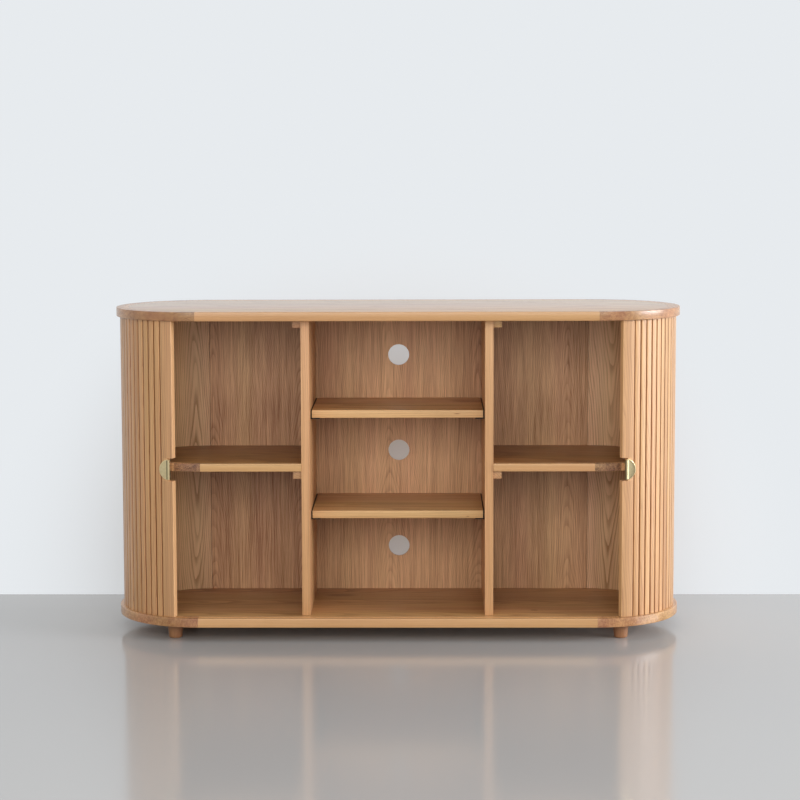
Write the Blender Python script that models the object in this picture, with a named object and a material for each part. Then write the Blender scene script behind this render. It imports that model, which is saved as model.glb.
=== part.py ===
"""Oak sideboard with round ends and two tambour doors.

Frame: metres, +Z up, front towards -Y, origin on the floor under the middle of the carcass.
Every sub-part is its own object. The doors are shown open, wrapped round the two ends.
"""

import math

import bmesh
import bpy
from mathutils import Matrix, Vector

# Carcass
LENGTH = 1.400
DEPTH = 0.430
FOOT_HEIGHT = 0.036
BOTTOM_THICKNESS = 0.022
TOP_THICKNESS = 0.022
CLEAR_HEIGHT = 0.724
LIPPING_WIDTH = 0.030
EDGE_ARRIS = 0.0012
END_STEPS = 24

# Fit between touching pieces, and between loose ones
TOUCH = 0.0003
RUNNING = 0.0004

# Dividers, back and curved end linings
DIVIDER_THICKNESS = 0.020
BAY_WIDTH = 0.4256
DIVIDER_SETBACK = 0.0375
BACK_SETBACK = 0.068
BACK_THICKNESS = 0.009
LINING_FRONT_ANGLE = 36.0
LINING_STEPS = 20
POST_ANGLE = 7.0
POST_OUTER_SETBACK = 0.035
BATTEN_WIDTH = 0.036
BATTEN_THICKNESS = 0.014
CABLE_HOLE_RADIUS = 0.027
CABLE_HOLE_DROP = 0.0025
HOLE_STEPS = 24

# Shelves and what carries them
SHELF_THICKNESS = 0.019
SIDE_SHELF_TOP = 0.4325
SHELF_LIPPING_WIDTH = 0.020
SHELF_CORNER_RUN = 0.006
LOWER_SHELF_TOP = 0.308
UPPER_SHELF_TOP = 0.5565
CENTRE_SHELF_SETBACK = 0.0547
CENTRE_SHELF_SIDE_GAP = 0.0034
RAIL_THICKNESS = 0.0022
RAIL_FOOT = 0.022
RAIL_WALL = 0.018
CLEAT_WIDTH = 0.020
CLEAT_HEIGHT = 0.019
CLEAT_SETBACK = 0.008
CLEAT_BACK_GAP = 0.0365

# Feet
FOOT_TOP_RADIUS = 0.0195
FOOT_BOTTOM_RADIUS = 0.0165
FOOT_ROUNDING = 0.004
FOOT_INSET_X = 0.154
FOOT_INSET_Y = 0.059
FOOT_STEPS = 20
BOLT_RADIUS = 0.004
BOLT_IN_BOARD = 0.014
BOLT_IN_FOOT = 0.024
BOLT_STEPS = 12

# Tambour curtain: outer face, slats, canvas and the groove that guides them
CURTAIN_SETBACK = 0.009
SLAT_WIDTH = 0.0150
SLAT_THICKNESS = 0.012
SLAT_ARRIS = 0.0018
SLAT_PITCH = 0.01656
CROSSING_SLATS = 3
CANVAS_THICKNESS = 0.0007
TONGUE_SETBACK = 0.003
TONGUE_THICKNESS = 0.0065
TONGUE_WIDTH = 0.012
TONGUE_LENGTH = 0.0075
GROOVE_CLEARANCE = 0.00125
GROOVE_DEPTH = 0.009
TOP_CLEARANCE = 0.001

# Leading stile with its finger notch and half-moon pull
STILE_ANGLE = 20.6
STILE_WIDTH = 0.030
STILE_GAP = 0.00235
STILE_THICKNESS = 0.016
STILE_TONGUE_WIDTH = 0.024
STILE_REBATE = 0.008
NOTCH_DEPTH = 0.0147
NOTCH_HEIGHT = 0.0560
PULL_CENTRE_Z = 0.4205
PULL_HEIGHT = 0.0506
PULL_WIDTH = 0.0282
PULL_OVERHANG = 0.0084
PULL_THICKNESS = 0.0035
PULL_BEVEL = 0.0014
PULL_BAR_WIDTH = 0.0052
PULL_BAR_SLOPE = 0.0030
PULL_BAR_RISE = 0.0016
PULL_STEPS = 18
SCREW_RADIUS = 0.0013
SCREW_HEAD_RADIUS = 0.0025
SCREW_HEAD_HEIGHT = 0.0014
SCREW_BITE = 0.6
SCREW_CLEARANCE = 0.0003
SCREW_STEPS = 10

# Stop block between the two door tails
STOP_HEIGHT = 0.020
STOP_WIDTH = 0.008
STOP_HALF_LENGTH = 0.042

# Places worked out from the sizes above
END_RADIUS = DEPTH / 2
END_X = LENGTH / 2 - END_RADIUS
FLOOR_Z = FOOT_HEIGHT + BOTTOM_THICKNESS
CEILING_Z = FLOOR_Z + CLEAR_HEIGHT
HEIGHT = CEILING_Z + TOP_THICKNESS
PANEL_RADIUS = END_RADIUS - LIPPING_WIDTH
BACK_FACE_Y = END_RADIUS - BACK_SETBACK
DIVIDER_FRONT_Y = -END_RADIUS + DIVIDER_SETBACK
DIVIDER_OUTER_X = BAY_WIDTH / 2 + DIVIDER_THICKNESS
CURTAIN_RADIUS = END_RADIUS - CURTAIN_SETBACK
BEND_RADIUS = CURTAIN_RADIUS - SLAT_THICKNESS - CANVAS_THICKNESS / 2
TONGUE_OUTER = CURTAIN_RADIUS - TONGUE_SETBACK
GROOVE_OUTER = TONGUE_OUTER + GROOVE_CLEARANCE
GROOVE_INNER = TONGUE_OUTER - TONGUE_THICKNESS - GROOVE_CLEARANCE
STILE_HALF_ANGLE = math.degrees(math.atan2(STILE_WIDTH / 2, CURTAIN_RADIUS))
CLOSING_ANGLE = STILE_ANGLE - STILE_HALF_ANGLE
CLOSING_TRAVEL = BEND_RADIUS * math.radians(CLOSING_ANGLE)
SLAT_PITCH_ANGLE = math.degrees(SLAT_PITCH / BEND_RADIUS)
FIRST_SLAT_GAP = STILE_GAP + (STILE_WIDTH + SLAT_WIDTH) / 2
FIRST_SLAT_ANGLE = STILE_ANGLE + math.degrees(FIRST_SLAT_GAP / CURTAIN_RADIUS)
ARC_SLATS = math.floor((180 - FIRST_SLAT_ANGLE) / SLAT_PITCH_ANGLE) + 1
TAIL_START = BEND_RADIUS * math.radians(FIRST_SLAT_ANGLE - 180) + SLAT_PITCH * (ARC_SLATS + CROSSING_SLATS)
TAIL_ROOM = END_X - STOP_HALF_LENGTH - SLAT_WIDTH / 2
TAIL_SLATS = math.floor((TAIL_ROOM - TAIL_START) / SLAT_PITCH) + 1
SHELF_FRONT_RADIUS = END_RADIUS - POST_OUTER_SETBACK
POST_FRONT_ANGLE = LINING_FRONT_ANGLE - POST_ANGLE


def make_material(name, colour, roughness, metallic=0.0):
    """Plain Principled finish for one kind of piece."""
    material = bpy.data.materials.new(name)
    material.use_nodes = True
    shader = material.node_tree.nodes["Principled BSDF"]
    shader.inputs["Base Color"].default_value = (*colour, 1.0)
    shader.inputs["Roughness"].default_value = roughness
    shader.inputs["Metallic"].default_value = metallic
    material.diffuse_color = (*colour, 1.0)
    return material


def add_object(name, bm, material, origin=(0, 0, 0), parent=None, smooth=False):
    """Turn a bmesh in world places into an object whose origin is where asked."""
    bmesh.ops.recalc_face_normals(bm, faces=bm.faces)
    bmesh.ops.translate(bm, verts=bm.verts, vec=-Vector(origin))
    mesh = bpy.data.meshes.new(name)
    bm.to_mesh(mesh)
    bm.free()
    mesh.materials.append(material)
    obj = bpy.data.objects.new(name, mesh)
    bpy.context.collection.objects.link(obj)
    obj.location = origin
    if parent is not None:
        obj.parent = parent
        obj.location = Vector(origin) - parent.location
    if smooth:
        mesh.shade_smooth()
        mesh.set_sharp_from_angle(angle=math.radians(30))
    return obj


def boolean(obj, tool, operation):
    """Cut obj with tool, or join tool to it, and take the tool away."""
    modifier = obj.modifiers.new("shape", "BOOLEAN")
    modifier.operation = operation
    modifier.solver = "EXACT"
    modifier.object = tool
    bpy.context.view_layer.update()
    depsgraph = bpy.context.evaluated_depsgraph_get()
    result = bpy.data.meshes.new_from_object(obj.evaluated_get(depsgraph))
    obj.modifiers.clear()
    obj.data = result
    bpy.data.objects.remove(tool)


def drawn_out(points, move, bm=None):
    """A flat face through the points, extruded along the move."""
    bm = bm or bmesh.new()
    face = bm.faces.new([bm.verts.new(p) for p in points])
    grown = bmesh.ops.extrude_face_region(bm, geom=[face])["geom"]
    far = [item for item in grown if isinstance(item, bmesh.types.BMVert)]
    bmesh.ops.translate(bm, verts=far, vec=move)
    return bm


def extruded(outline, low, high, bm=None):
    """A flat outline in X and Y, extruded from z = low to z = high."""
    return drawn_out([(x, y, low) for x, y in outline], (0, 0, high - low), bm)


def box(low, high, bm=None):
    """A rectangular block between two corners."""
    outline = [(low[0], low[1]), (high[0], low[1]), (high[0], high[1]), (low[0], high[1])]
    return extruded(outline, low[2], high[2], bm)


def softened(bm, width=EDGE_ARRIS, along=None):
    """Take the arris off the sharp edges, or only off those that pass the test."""
    chosen = [e for e in bm.edges if e.calc_face_angle(0) > 0.6 and (along is None or along(e))]
    bmesh.ops.bevel(bm, geom=chosen, offset=width, segments=1, affect="EDGES")
    return bm


def arc(radius, start, end, steps, side, centre_x=None):
    """Points on a round end. Angles in degrees, 0 at the front and growing round to the back."""
    middle = side * END_X if centre_x is None else centre_x
    angles = [math.radians(start + (end - start) * i / steps) for i in range(steps + 1)]
    return [(middle + side * radius * math.sin(a), -radius * math.cos(a)) for a in angles]


def spun_end(section, start, end, steps, side):
    """A section given as (radius, z) points, spun round the axis of one end."""
    bm = bmesh.new()
    a = math.radians(start)
    points = [(side * r * math.sin(a), -r * math.cos(a), z) for r, z in section]
    face = bm.faces.new([bm.verts.new(p) for p in points])
    bmesh.ops.spin(
        bm,
        geom=[face],
        cent=(0, 0, 0),
        axis=(0, 0, side),
        angle=math.radians(end - start),
        steps=steps,
        use_duplicate=False,
    )
    bmesh.ops.translate(bm, verts=bm.verts, vec=(side * END_X, 0, 0))
    return bm


def turned(profile, steps, centre):
    """A profile of (radius, z) points that starts and ends on the axis, turned a full circle."""
    bm = bmesh.new()
    verts = [bm.verts.new((r, 0, z)) for r, z in profile]
    edges = [bm.edges.new(pair) for pair in zip(verts, verts[1:])]
    bmesh.ops.spin(bm, geom=verts + edges, cent=(0, 0, 0), axis=(0, 0, 1), angle=math.tau, steps=steps)
    bmesh.ops.remove_doubles(bm, verts=bm.verts, dist=1e-6)
    bmesh.ops.translate(bm, verts=bm.verts, vec=centre)
    return bm


def rod_profile(radius, low, high):
    """Profile of a plain rod between two heights."""
    return [(0, low), (radius, low), (radius, high), (0, high)]


def obround(radius, steps):
    """The plan of the sideboard at one distance from its middle line."""
    right = arc(radius, 0, 180, steps, 1)
    left = arc(radius, 180, 0, steps, -1)
    return right + left


def along_curtain(side, angle):
    """Point on the curtain's outer face, its trailing direction and its outward direction.

    The angle runs round the end from the front. Past 180 degrees the path is straight along
    the back, and the angle counts as length at the bend radius of the canvas.
    """
    turn = math.radians(min(angle, 180.0))
    outward = Vector((side * math.sin(turn), -math.cos(turn), 0))
    trailing = Vector((side * math.cos(turn), math.sin(turn), 0))
    straight = BEND_RADIUS * math.radians(max(angle - 180.0, 0.0))
    point = Vector((side * END_X, 0, 0)) + outward * CURTAIN_RADIUS + trailing * straight
    return point, trailing, outward


def curtain_matrix(side, angle):
    """Takes a piece drawn flat (X trailing, Y outward, Z up) to its place on the curtain."""
    point, trailing, outward = along_curtain(side, angle)
    rotation = Matrix((trailing, outward, (0, 0, 1))).transposed().to_4x4()
    return Matrix.Translation(point) @ rotation


# Finishes seen in the photo
oak_light = make_material("oak_light", (0.56, 0.36, 0.20), 0.5)
oak_end = make_material("oak_end", (0.42, 0.25, 0.13), 0.5)
oak_veneer = make_material("oak_veneer", (0.50, 0.32, 0.18), 0.5)
oak_inside = make_material("oak_inside", (0.42, 0.27, 0.16), 0.6)
oak_slat = make_material("oak_slat", (0.54, 0.34, 0.19), 0.5)
brass = make_material("satin_brass", (0.62, 0.50, 0.24), 0.35, 1.0)
steel = make_material("zinc_steel", (0.60, 0.60, 0.58), 0.4, 1.0)
black_metal = make_material("black_metal", (0.02, 0.02, 0.02), 0.5)


def lipping_section(flat_z, grooved_z):
    """Section of a board's solid oak edge, with the curtain groove in its inner face.

    flat_z is the outer face of the board, and grooved_z the face towards the inside.
    """
    inward = 1 if grooved_z > flat_z else -1
    inner = PANEL_RADIUS + TOUCH / 2
    groove_floor = grooved_z - inward * GROOVE_DEPTH
    return [
        (inner, flat_z),
        (END_RADIUS - EDGE_ARRIS, flat_z),
        (END_RADIUS, flat_z + inward * EDGE_ARRIS),
        (END_RADIUS, grooved_z - inward * EDGE_ARRIS),
        (END_RADIUS - EDGE_ARRIS, grooved_z),
        (GROOVE_OUTER, grooved_z),
        (GROOVE_OUTER, groove_floor),
        (GROOVE_INNER, groove_floor),
        (GROOVE_INNER, grooved_z),
        (inner, grooved_z),
    ]


def straight_lipping(section, towards):
    """The same section drawn along the straight front (-1) or back (+1)."""
    start_x = -END_X + TOUCH / 2
    return drawn_out([(start_x, towards * r, z) for r, z in section], (-2 * start_x, 0, 0))


def curved_lipping(section, side):
    """The half ring of solid oak round one end, joined to the straight lippings end to end."""
    gap = math.degrees(TOUCH / 2 / END_RADIUS)
    return spun_end(section, gap, 180 - gap, END_STEPS, side)


def make_board(name, low, high, flat_z, grooved_z):
    """A veneered board with straight lippings front and back and a half ring at each end."""
    plan = obround(PANEL_RADIUS - TOUCH / 2, END_STEPS)
    add_object(f"{name}_panel", extruded(plan, low, high), oak_veneer)
    section = lipping_section(flat_z, grooved_z)
    add_object(f"{name}_front_lipping", straight_lipping(section, -1), oak_light)
    add_object(f"{name}_rear_lipping", straight_lipping(section, 1), oak_light)
    add_object(f"{name}_left_lipping", curved_lipping(section, -1), oak_end, smooth=True)
    add_object(f"{name}_right_lipping", curved_lipping(section, 1), oak_end, smooth=True)


def make_dividers():
    """Two upright panels between the open centre bay and the side compartments."""
    for side, name in ((-1, "left_divider"), (1, "right_divider")):
        inner = side * BAY_WIDTH / 2
        outer = side * DIVIDER_OUTER_X
        low = (min(inner, outer), DIVIDER_FRONT_Y, FLOOR_Z + TOUCH)
        high = (max(inner, outer), BACK_FACE_Y - TOUCH, CEILING_Z - TOUCH)
        upright_front = softened(box(low, high), along=is_upright_front_edge)
        add_object(name, upright_front, oak_light)


def is_upright_front_edge(edge):
    """True for an upright edge on the front face of a divider."""
    a, b = (v.co for v in edge.verts)
    return abs(a.x - b.x) + abs(a.y - b.y) < 1e-6 and a.y < DIVIDER_FRONT_Y + 1e-4


def bay_heights():
    """Low and high z of the three open centre bays, from the bottom up."""
    under_lower = LOWER_SHELF_TOP - SHELF_THICKNESS
    under_upper = UPPER_SHELF_TOP - SHELF_THICKNESS
    return [(FLOOR_Z, under_lower), (LOWER_SHELF_TOP, under_upper), (UPPER_SHELF_TOP, CEILING_Z)]


def make_back_and_linings():
    """Flat back with a cable hole in each centre bay, and a bent lining round each end."""
    low = (-END_X + TOUCH / 2, BACK_FACE_Y, FLOOR_Z + TOUCH)
    high = (END_X - TOUCH / 2, BACK_FACE_Y + BACK_THICKNESS, CEILING_Z - TOUCH)
    back = add_object("back_panel", box(low, high), oak_inside)
    for bay_low, bay_high in bay_heights():
        centre_z = (bay_low + bay_high) / 2 - CABLE_HOLE_DROP
        drill = bmesh.new()
        bmesh.ops.create_cone(
            drill,
            cap_ends=True,
            segments=HOLE_STEPS,
            radius1=CABLE_HOLE_RADIUS,
            radius2=CABLE_HOLE_RADIUS,
            depth=3 * BACK_THICKNESS,
            matrix=Matrix.Translation((0, BACK_FACE_Y + BACK_THICKNESS / 2, centre_z))
            @ Matrix.Rotation(math.radians(90), 4, "X"),
        )
        boolean(back, add_object("cable_drill", drill, oak_inside), "DIFFERENCE")
    for side, name in ((-1, "left"), (1, "right")):
        lining = [
            (BACK_FACE_Y, FLOOR_Z + TOUCH),
            (BACK_FACE_Y + BACK_THICKNESS, FLOOR_Z + TOUCH),
            (BACK_FACE_Y + BACK_THICKNESS, CEILING_Z - TOUCH),
            (BACK_FACE_Y, CEILING_Z - TOUCH),
        ]
        gap = math.degrees(TOUCH / BACK_FACE_Y)
        bent = spun_end(lining, LINING_FRONT_ANGLE + gap, 180 - gap, LINING_STEPS, side)
        add_object(f"{name}_end_lining", bent, oak_inside, smooth=True)
        outer = arc(SHELF_FRONT_RADIUS, POST_FRONT_ANGLE, LINING_FRONT_ANGLE, 2, side)
        inner = arc(BACK_FACE_Y, LINING_FRONT_ANGLE, POST_FRONT_ANGLE, 2, side)
        post = extruded(outer + inner, FLOOR_Z + TOUCH, CEILING_Z - TOUCH)
        add_object(f"{name}_corner_post", post, oak_inside)
        middle = side * (END_X - BATTEN_WIDTH / 6)
        near_y = BACK_FACE_Y + BACK_THICKNESS + TOUCH
        low = (middle - BATTEN_WIDTH / 2, near_y, FLOOR_Z + TOUCH)
        high = (middle + BATTEN_WIDTH / 2, near_y + BATTEN_THICKNESS, CEILING_Z - TOUCH)
        add_object(f"{name}_seam_batten", box(low, high), oak_inside)


def make_side_shelf(side, name):
    """Shelf of a side compartment, cut to the curved lining, with lippings on its front edge."""
    low = SIDE_SHELF_TOP - SHELF_THICKNESS
    near_divider = side * (DIVIDER_OUTER_X + TOUCH)
    front = SHELF_FRONT_RADIUS - SHELF_LIPPING_WIDTH
    back = BACK_FACE_Y - TOUCH
    edge_angle = POST_FRONT_ANGLE - math.degrees(TOUCH / BACK_FACE_Y)
    plan = [(near_divider, back), (near_divider, -front)]
    plan += arc(front, 0, edge_angle, 6, side)
    plan += arc(back, edge_angle, 180, LINING_STEPS, side)
    add_object(f"{name}_side_shelf", extruded(plan, low, SIDE_SHELF_TOP), oak_veneer)
    seam = side * (END_X - SHELF_CORNER_RUN)
    plan = [(seam + side * TOUCH, -front - TOUCH), (seam + side * TOUCH, -SHELF_FRONT_RADIUS)]
    plan += arc(SHELF_FRONT_RADIUS, 0, edge_angle, 6, side)
    plan += arc(front + TOUCH, edge_angle, 0, 6, side)
    corner = extruded(plan, low, SIDE_SHELF_TOP)
    add_object(f"{name}_shelf_corner_lipping", corner, oak_end, smooth=True)
    ends = sorted((near_divider, seam))
    straight = box((ends[0], -SHELF_FRONT_RADIUS, low), (ends[1], -front - TOUCH, SIDE_SHELF_TOP))
    add_object(f"{name}_shelf_front_lipping", straight, oak_light)


def make_cleats(side, name):
    """Battens on a divider's outer side: one under the top, one under the side shelf."""
    near = side * (DIVIDER_OUTER_X + TOUCH)
    far = near + side * CLEAT_WIDTH
    start = DIVIDER_FRONT_Y + CLEAT_SETBACK
    shelf_low = SIDE_SHELF_TOP - SHELF_THICKNESS
    for label, top_z in (("top", CEILING_Z - TOUCH), ("shelf", shelf_low - TOUCH)):
        low = (min(near, far), start, top_z - CLEAT_HEIGHT)
        high = (max(near, far), BACK_FACE_Y - CLEAT_BACK_GAP, top_z)
        add_object(f"{name}_{label}_cleat", softened(box(low, high)), oak_end)


def make_centre_shelf(name, top_z):
    """Loose shelf of the centre bay on a black angle rail at each end."""
    end_x = BAY_WIDTH / 2 - CENTRE_SHELF_SIDE_GAP
    front_y = DIVIDER_FRONT_Y + CENTRE_SHELF_SETBACK
    back_y = BACK_FACE_Y - TOUCH
    under = top_z - SHELF_THICKNESS
    shelf = box((-end_x, front_y, under), (end_x, back_y, top_z))
    add_object(f"{name}_centre_shelf", softened(shelf), oak_light)
    for side, hand in ((-1, "left"), (1, "right")):
        wall = side * (BAY_WIDTH / 2 - TOUCH)
        inner_wall = wall - side * RAIL_THICKNESS
        toe = wall - side * RAIL_FOOT
        foot_top = under - TOUCH
        section = [
            (wall, foot_top - RAIL_THICKNESS),
            (toe, foot_top - RAIL_THICKNESS),
            (toe, foot_top),
            (inner_wall, foot_top),
            (inner_wall, foot_top + RAIL_WALL),
            (wall, foot_top + RAIL_WALL),
        ]
        rail = drawn_out([(x, front_y, z) for x, z in section], (0, back_y - front_y, 0))
        add_object(f"{name}_{hand}_shelf_rail", rail, black_metal)


def foot_places():
    """Names and centres of the four feet."""
    x = LENGTH / 2 - FOOT_INSET_X
    y = END_RADIUS - FOOT_INSET_Y
    return [
        ("front_left", -x, -y),
        ("front_right", x, -y),
        ("rear_left", -x, y),
        ("rear_right", x, y),
    ]


def make_feet():
    """Short turned feet, each drawn up to the bottom board by a stud in two blind holes."""
    board = bpy.data.objects["bottom_panel"]
    top = FOOT_HEIGHT - TOUCH
    hole = BOLT_RADIUS + TOUCH
    hole_floor = top - BOLT_IN_FOOT - TOUCH
    hole_end = FOOT_HEIGHT + BOLT_IN_BOARD + TOUCH
    turns = [math.radians(a) for a in (0, 30, 60, 90)]
    rim = [
        (
            FOOT_BOTTOM_RADIUS - FOOT_ROUNDING * (1 - math.sin(a)),
            FOOT_ROUNDING * (1 - math.cos(a)),
        )
        for a in turns
    ]
    foot = [(0, 0), *rim, (FOOT_TOP_RADIUS, top), (hole, top), (hole, hole_floor), (0, hole_floor)]
    bolt = rod_profile(BOLT_RADIUS, top - BOLT_IN_FOOT, FOOT_HEIGHT + BOLT_IN_BOARD)
    drill = rod_profile(hole, top - BOLT_IN_FOOT, hole_end)
    for name, x, y in foot_places():
        place = (x, y, 0)
        add_object(f"{name}_foot", turned(foot, FOOT_STEPS, place), oak_end, place, smooth=True)
        add_object(f"{name}_foot_bolt", turned(bolt, BOLT_STEPS, place), steel, place, smooth=True)
        boolean(board, add_object("drill", turned(drill, BOLT_STEPS, place), steel), "DIFFERENCE")


def on_curtain(side, angle, x, depth):
    """Plan point at x along a slat and at a depth behind its outer face."""
    point, trailing, outward = along_curtain(side, angle)
    return (point + trailing * x - outward * depth).to_2d().to_tuple()


def curtain(side, angles, stile_flap=False):
    """Slats in a row, fused with the canvas on their backs, with a tongue at both ends of each.

    The plan is a comb. The canvas makes the spine, one straight run behind each slat, and
    the runs meet half-way between two slats. With a flap, it also reaches under the stile.
    """
    half = SLAT_WIDTH / 2
    back = SLAT_THICKNESS + CANVAS_THICKNESS
    teeth = [
        (-half, SLAT_THICKNESS),
        (-half, SLAT_ARRIS),
        (-half + SLAT_ARRIS, 0),
        (half - SLAT_ARRIS, 0),
        (half, SLAT_ARRIS),
        (half, SLAT_THICKNESS),
    ]
    comb = [on_curtain(side, a, x, depth) for a in angles for x, depth in teeth]
    spine = [on_curtain(side, angles[-1], half, back)]
    for a in reversed(angles[:-1]):
        meeting = a + SLAT_PITCH_ANGLE / 2
        bulge = (CURTAIN_RADIUS - back) * (1 / math.cos(math.radians(SLAT_PITCH_ANGLE / 2)) - 1)
        on_straight = meeting > 180
        spine.append(on_curtain(side, meeting, 0, back - (0 if on_straight else bulge)))
    if stile_flap:
        glue = back + TOUCH
        first = STILE_WIDTH / 2 - STILE_REBATE + TOUCH
        last = STILE_WIDTH / 2
        spine += [on_curtain(side, STILE_ANGLE, x, glue) for x in (last, first)]
        glue -= CANVAS_THICKNESS
        spine += [on_curtain(side, STILE_ANGLE, x, glue) for x in (first, last)]
    else:
        spine.append(on_curtain(side, angles[0], -half, back))
    low = FLOOR_Z + RUNNING
    high = CEILING_Z - TOP_CLEARANCE
    body = add_object("comb", extruded(comb + spine, low, high), oak_slat)
    reach = TONGUE_WIDTH / 2
    tongues = bmesh.new()
    for a in angles:
        corners = [(-reach, -1), (reach, -1), (reach, 1), (-reach, 1)]
        middle = TONGUE_SETBACK + TONGUE_THICKNESS / 2
        plan = [on_curtain(side, a, x, middle + k * TONGUE_THICKNESS / 2) for x, k in corners]
        extruded(plan, FLOOR_Z - TONGUE_LENGTH, CEILING_Z + TONGUE_LENGTH, tongues)
    boolean(body, add_object("tongues", tongues, oak_slat), "UNION")
    return body


def finish_moving(body, name, origin, parent=None):
    """Name a moving body and put its origin on its joint."""
    body.name = name
    body.data.name = name
    body.data.transform(Matrix.Translation(-Vector(origin)))
    body.location = origin
    if parent is not None:
        body.parent = parent
        body.location = Vector(origin) - parent.location


def slat_angle(index):
    """Angle on the curtain path of a slat's middle, counted from the stile."""
    return FIRST_SLAT_ANGLE + SLAT_PITCH_ANGLE * index


def make_stile(side, name, axis):
    """Wide leading stile with a rebate for the canvas, tongues, finger notch and screw holes."""
    half = STILE_WIDTH / 2
    profile = [
        (-half, -STILE_THICKNESS),
        (half - STILE_REBATE, -STILE_THICKNESS),
        (half - STILE_REBATE, -SLAT_THICKNESS),
        (half, -SLAT_THICKNESS),
        (half, -SLAT_ARRIS),
        (half - SLAT_ARRIS, 0),
        (-half + EDGE_ARRIS, 0),
        (-half, -EDGE_ARRIS),
    ]
    place = curtain_matrix(side, STILE_ANGLE)
    low = FLOOR_Z + RUNNING
    high = CEILING_Z - TOP_CLEARANCE

    def placed(bm):
        bmesh.ops.transform(bm, verts=bm.verts, matrix=place)
        return bm

    centre = (side * END_X, 0, 0)
    body = add_object(f"{name}_stile", placed(extruded(profile, low, high)), oak_slat, centre, axis)
    reach = STILE_TONGUE_WIDTH / 2
    tongue_low = (-reach, -TONGUE_SETBACK - TONGUE_THICKNESS, FLOOR_Z - TONGUE_LENGTH)
    tongue_high = (reach, -TONGUE_SETBACK, CEILING_Z + TONGUE_LENGTH)
    tongue = add_object("tongue", placed(box(tongue_low, tongue_high)), oak_slat)
    boolean(body, tongue, "UNION")
    notch_low = (-2 * half, -2 * STILE_THICKNESS, PULL_CENTRE_Z - NOTCH_HEIGHT / 2)
    notch_high = (-half + NOTCH_DEPTH, STILE_THICKNESS, PULL_CENTRE_Z + NOTCH_HEIGHT / 2)
    boolean(body, add_object("notch", placed(box(notch_low, notch_high)), oak_slat), "DIFFERENCE")
    head_y = TOUCH - STILE_THICKNESS
    hole = SCREW_RADIUS + SCREW_CLEARANCE
    sink = SCREW_HEAD_RADIUS + SCREW_CLEARANCE
    way_in = [(0, 2 * head_y), (sink, 2 * head_y), (sink, head_y)]
    way_in += [(hole, head_y + SCREW_HEAD_HEIGHT), (hole, STILE_THICKNESS), (0, STILE_THICKNESS)]
    boolean(body, add_object("hole", placed(screw_shape(way_in)), steel), "DIFFERENCE")
    plate = add_object(f"{name}_pull", placed(pull_shape()), brass, centre, axis)
    tip_y = TOUCH + PULL_THICKNESS * SCREW_BITE
    socket = rod_profile(hole, -SLAT_ARRIS, tip_y)
    boolean(plate, add_object("hole", placed(screw_shape(socket)), steel), "DIFFERENCE")
    screw = [(0, head_y), (SCREW_HEAD_RADIUS, head_y), (SCREW_RADIUS, head_y + SCREW_HEAD_HEIGHT)]
    screw += [(SCREW_RADIUS, tip_y - TOUCH), (0, tip_y - TOUCH)]
    add_object(f"{name}_pull_screw", placed(screw_shape(screw)), steel, centre, axis, smooth=True)


def screw_shape(profile):
    """A profile turned about the screw's line, which runs outward through the stile."""
    bm = turned(profile, SCREW_STEPS, (0, 0, 0))
    onto_outward = Matrix.Rotation(math.radians(-90), 3, "X")
    bmesh.ops.rotate(bm, verts=bm.verts, cent=(0, 0, 0), matrix=onto_outward)
    middle_x = (NOTCH_DEPTH - STILE_REBATE) / 2
    bmesh.ops.translate(bm, verts=bm.verts, vec=(middle_x, 0, PULL_CENTRE_Z))
    return bm


def pull_shape():
    """Half-moon plate with a bevelled rim, and a raised bar along its flat side.

    The bar overhangs the notch, so that a fingertip hooks behind it.
    """
    radius = PULL_HEIGHT / 2
    flat = -STILE_WIDTH / 2 + NOTCH_DEPTH - PULL_OVERHANG
    centre_x = flat + PULL_WIDTH - radius
    turns = [math.pi * (i / PULL_STEPS - 0.5) for i in range(PULL_STEPS + 1)]
    rim = [(centre_x + radius * math.cos(a), radius * math.sin(a)) for a in turns]
    outline = [*rim, (flat, radius), (flat, -radius)]
    bm = drawn_out([(x, TOUCH, PULL_CENTRE_Z + z) for x, z in outline], (0, PULL_THICKNESS, 0))
    front = TOUCH + PULL_THICKNESS / 2
    rounded = [
        e
        for e in bm.edges
        if all(v.co.y > front for v in e.verts) and max(v.co.x for v in e.verts) > flat + TOUCH
    ]
    bmesh.ops.bevel(bm, geom=rounded, offset=PULL_BEVEL, segments=1, affect="EDGES")
    bar = flat + PULL_BAR_WIDTH
    for x in (bar, bar + PULL_BAR_SLOPE):
        everything = bm.verts[:] + bm.edges[:] + bm.faces[:]
        bmesh.ops.bisect_plane(bm, geom=everything, plane_co=(x, 0, 0), plane_no=(1, 0, 0))
    for v in bm.verts:
        if v.co.y > TOUCH / 2 + PULL_THICKNESS:
            v.co.y += PULL_BAR_RISE * min(1, max(0, 1 - (v.co.x - bar) / PULL_BAR_SLOPE))
    return bm


def crossing_pole(side, distance):
    """Axis about which a slat swings when it leaves the straight back for the round end.

    The slat starts this distance before the end of the straight and finishes on the arc. One
    turn about this axis carries it from the first place to the last.
    """
    turn = (CLOSING_TRAVEL - distance) / BEND_RADIUS
    return Vector((side * END_X - side * distance / 2, -distance / 2 / math.tan(turn / 2), 0))


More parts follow.
